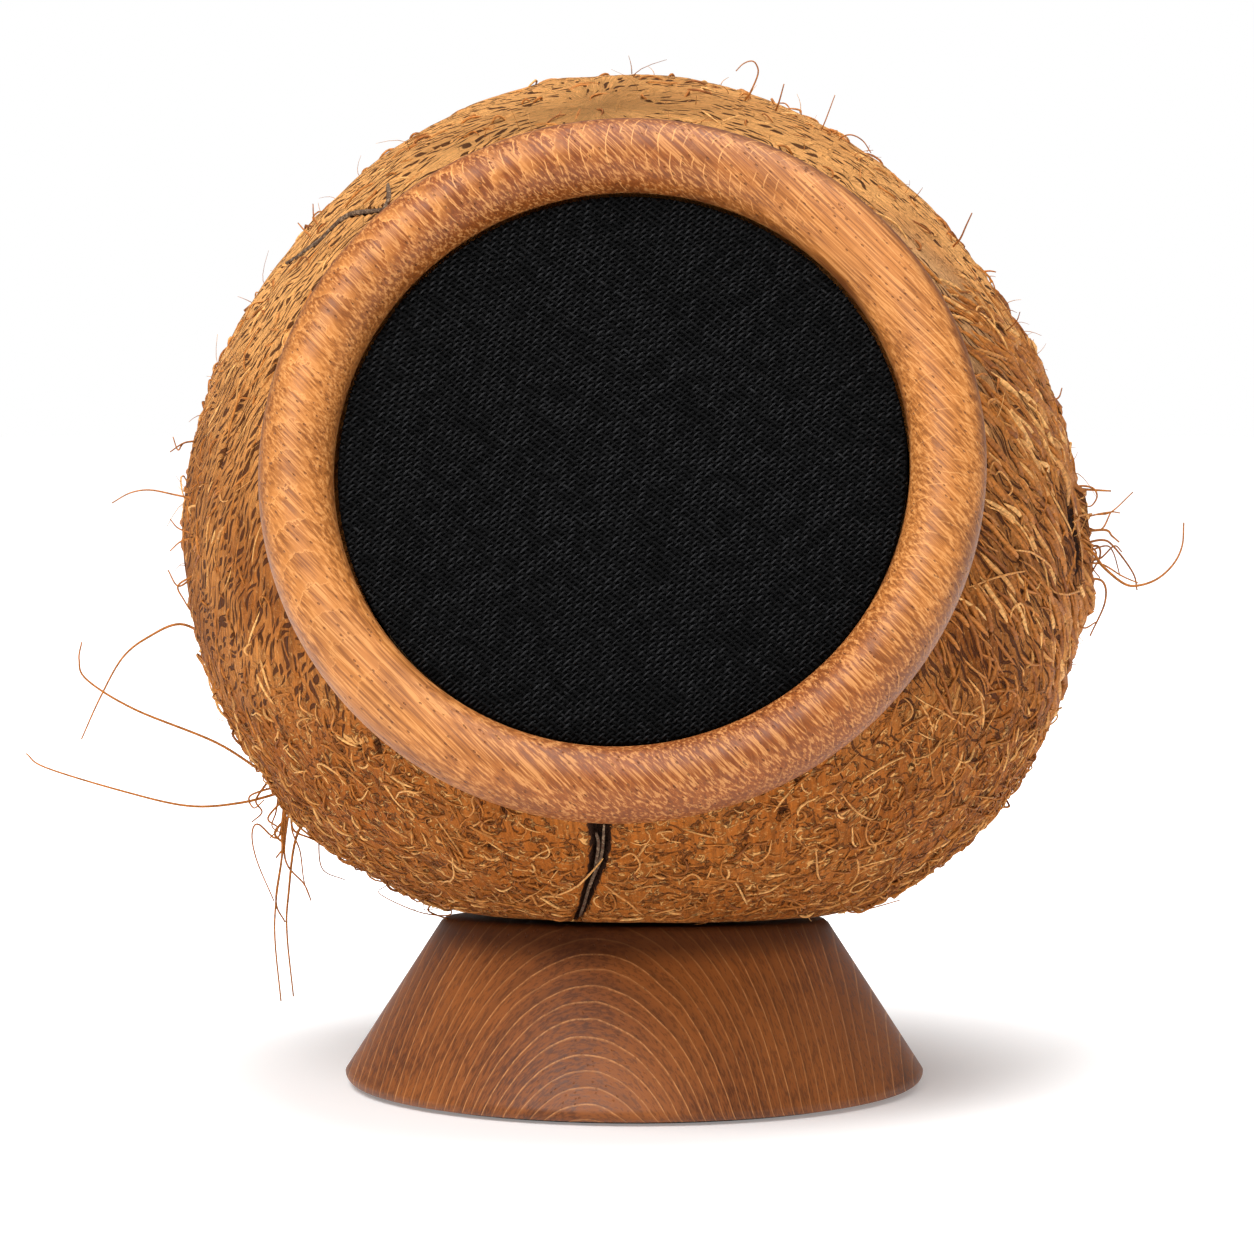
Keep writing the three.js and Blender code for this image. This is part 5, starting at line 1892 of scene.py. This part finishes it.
def finish_carried_nodes():
    """Every carried-over node gets the finish of its slot."""
    finishes = carried_materials()
    for subpart in frame["record"]["subparts"]:
        node = frame["nodes"][subpart["node"]]
        if node.hide_render:
            continue
        node.data.materials.clear()
        node.data.materials.append(finishes[subpart["material_slot"]])


# Stage

WHITE = (1.0, 1.0, 1.0, 1.0)
FLOOR_RADIUS = 3.0
FLOOR_MIDDLE = 0.05
FLOOR_ROWS = 24
FLOOR_COLUMNS = 96
FLOOR_GLOW = 0.9
SURROUND_STRENGTH = 0.27
OBJECT_MIDDLE = (0.0, 0.0, 0.08)
# Each light's place, side and power
LIGHTS = {
    "key_light": ((-0.34, -0.80, 1.00), 0.7, 15.5),
    "top_light": ((0.12, 0.05, 1.20), 0.8, 14.0),
}


def build_floor():
    """A pale floor, whose own glow grows away from the object, so that it runs into the white surround."""
    profile = np.stack([np.linspace(FLOOR_RADIUS, FLOOR_MIDDLE, FLOOR_ROWS), np.zeros(FLOOR_ROWS)], axis=-1)
    rings = turned_points(profile, FLOOR_COLUMNS).reshape(-1, 3)
    middle = np.arange(FLOOR_COLUMNS)[None, :] + (FLOOR_ROWS - 1) * FLOOR_COLUMNS
    floor = new_mesh("floor", rings, [ring_faces(FLOOR_ROWS, FLOOR_COLUMNS, False), middle], smooth=False)
    material, graph, shader = new_material(
        "pale_floor", Roughness=0.9, Specular_IOR_Level=0.1, Emission_Strength=FLOOR_GLOW)
    spot = graph.object_place()
    away = graph.add("VectorMath", {0: spot}, operation="LENGTH")["Value"]
    glow = graph.range(away, 0.02, 0.28, 0.25, 1.0)
    tint = graph.mix(graph.noise(spot, 6.0), (0.82, 0.82, 0.82), (0.85, 0.85, 0.85))
    graph.feed(shader, Base_Color=tint, Emission_Color=graph.join(glow, glow, glow))
    floor.data.materials.append(material)


def build_surround():
    """An even surround: white where the camera sees it, and dimmer where it lights the object."""
    world = bpy.data.worlds.new("studio")
    world.use_nodes = True
    graph = Graph(world.node_tree)
    lighting = world.node_tree.nodes["Background"]
    graph.feed(lighting, Color=WHITE, Strength=SURROUND_STRENGTH)
    seen = graph.add("Background", {"Color": WHITE, "Strength": 1.0})
    by_camera = graph.add("LightPath")["Is Camera Ray"]
    surround = graph.add("MixShader", {
        0: by_camera, 1: Signal(graph, lighting.outputs[0]), 2: seen[0]})[0]
    graph.link(surround, world.node_tree.nodes["World Output"].inputs["Surface"])
    bpy.context.scene.world = world


def build_light(name, spot, side, power):
    """A square soft light that points at the object's middle."""
    light = bpy.data.lights.new(name, "AREA")
    light.shape = "SQUARE"
    light.size = side
    light.energy = power
    lamp = bpy.data.objects.new(name, light)
    towards = Vector(OBJECT_MIDDLE) - Vector(spot)
    lamp.matrix_world = Matrix.Translation(spot) @ towards.to_track_quat("-Z", "Y").to_matrix().to_4x4()
    bpy.context.scene.collection.objects.link(lamp)


def build_stage():
    """The floor, the surround, a large soft light in front on the left and one above."""
    build_floor()
    build_surround()
    for name, light in LIGHTS.items():
        build_light(name, *light)
    bpy.context.scene.view_settings.view_transform = "Standard"


SENSOR_WIDTH = 36.0


def build_camera():
    """The camera stands at the photograph's viewpoint and has its focal length."""
    view = settings("camera")
    eye, forward, right, up = camera_frame()
    data = bpy.data.cameras.new("camera")
    data.sensor_width = SENSOR_WIDTH
    data.lens = view.focal_pixels * SENSOR_WIDTH / view.image_pixels
    data.clip_start = 0.05
    data.clip_end = 20.0
    camera = bpy.data.objects.new("camera", data)
    axes = Matrix((right, up, -forward)).transposed().to_4x4()
    camera.matrix_world = Matrix.Translation(eye) @ axes
    bpy.context.scene.collection.objects.link(camera)
    bpy.context.scene.camera = camera


# Operators

class CoconutStage(bpy.types.Operator):
    """Make the camera, the pale floor and the soft lights"""
    bl_idname = "coconut.stage"
    bl_label = "Stage, lights and camera"
    bl_options = {"REGISTER", "UNDO"}

    def execute(self, context):
        build_camera()
        build_stage()
        return {"FINISHED"}


class CoconutHusk(bpy.types.Operator):
    """Make the husk with its lumps, pits, seam and crack"""
    bl_idname = "coconut.husk"
    bl_label = "Husk"
    bl_options = {"REGISTER", "UNDO"}

    def execute(self, context):
        build_husk(NutForm())
        return {"FINISHED"}


class CoconutFibres(bpy.types.Operator):
    """Lay the husk's fibres, matted fibres, curls, hairs and bark slivers"""
    bl_idname = "coconut.fibres"
    bl_label = "Fibres"
    bl_options = {"REGISTER", "UNDO"}

    def execute(self, context):
        form = NutForm()
        build_laid_fibres(form)
        build_matted_fibres(form)
        build_curls(form)
        build_hairs(form)
        build_traced_curls(form)
        build_bark_slivers(form)
        return {"FINISHED"}


class CoconutLooseCoir(bpy.types.Operator):
    """Make the loose strands that stand out of the husk"""
    bl_idname = "coconut.loose_coir"
    bl_label = "Loose coir"
    bl_options = {"REGISTER", "UNDO"}

    def execute(self, context):
        build_loose_coir()
        build_free_strands(NutForm())
        return {"FINISHED"}


class CoconutRing(bpy.types.Operator):
    """Turn the wooden ring round the mouth"""
    bl_idname = "coconut.ring"
    bl_label = "Front ring"
    bl_options = {"REGISTER", "UNDO"}

    def execute(self, context):
        build_ring()
        return {"FINISHED"}


class CoconutGrille(bpy.types.Operator):
    """Weave the grille cloth"""
    bl_idname = "coconut.grille"
    bl_label = "Grille cloth"
    bl_options = {"REGISTER", "UNDO"}

    def execute(self, context):
        build_grille()
        return {"FINISHED"}


class CoconutBase(bpy.types.Operator):
    """Turn the wooden base"""
    bl_idname = "coconut.base"
    bl_label = "Base"
    bl_options = {"REGISTER", "UNDO"}

    def execute(self, context):
        build_base()
        return {"FINISHED"}


class CoconutFittings(bpy.types.Operator):
    """Finish the driver, terminals, screws, bolt and pad"""
    bl_idname = "coconut.fittings"
    bl_label = "Fittings"
    bl_options = {"REGISTER", "UNDO"}

    def execute(self, context):
        finish_carried_nodes()
        return {"FINISHED"}


STEPS = (
    CoconutStage, CoconutHusk, CoconutFibres, CoconutLooseCoir, CoconutRing, CoconutGrille, CoconutBase,
    CoconutFittings)


class VIEW3D_PT_coconut_speaker(bpy.types.Panel):
    """Lists the steps in the 3D view's sidebar"""
    bl_label = "Coconut speaker"
    bl_space_type = "VIEW_3D"
    bl_region_type = "UI"
    bl_category = "Coconut speaker"

    def draw(self, context):
        for step in STEPS:
            self.layout.operator(step.bl_idname)
        for name in SETTINGS:
            box = self.layout.box()
            group = getattr(context.scene, name)
            for key in group.__annotations__:
                box.prop(group, key)


CLASSES = (*SETTINGS.values(), *STEPS, VIEW3D_PT_coconut_speaker)


def register():
    for item in CLASSES:
        bpy.utils.register_class(item)
    for name, group in SETTINGS.items():
        setattr(bpy.types.Scene, name, PointerProperty(type=group))


def unregister():
    for name in SETTINGS:
        delattr(bpy.types.Scene, name)
    for item in reversed(CLASSES):
        bpy.utils.unregister_class(item)


def main():
    register()
    for step in STEPS:
        getattr(bpy.ops.coconut, step.bl_idname.split(".")[1])()


if __name__ == "__main__":
    main()
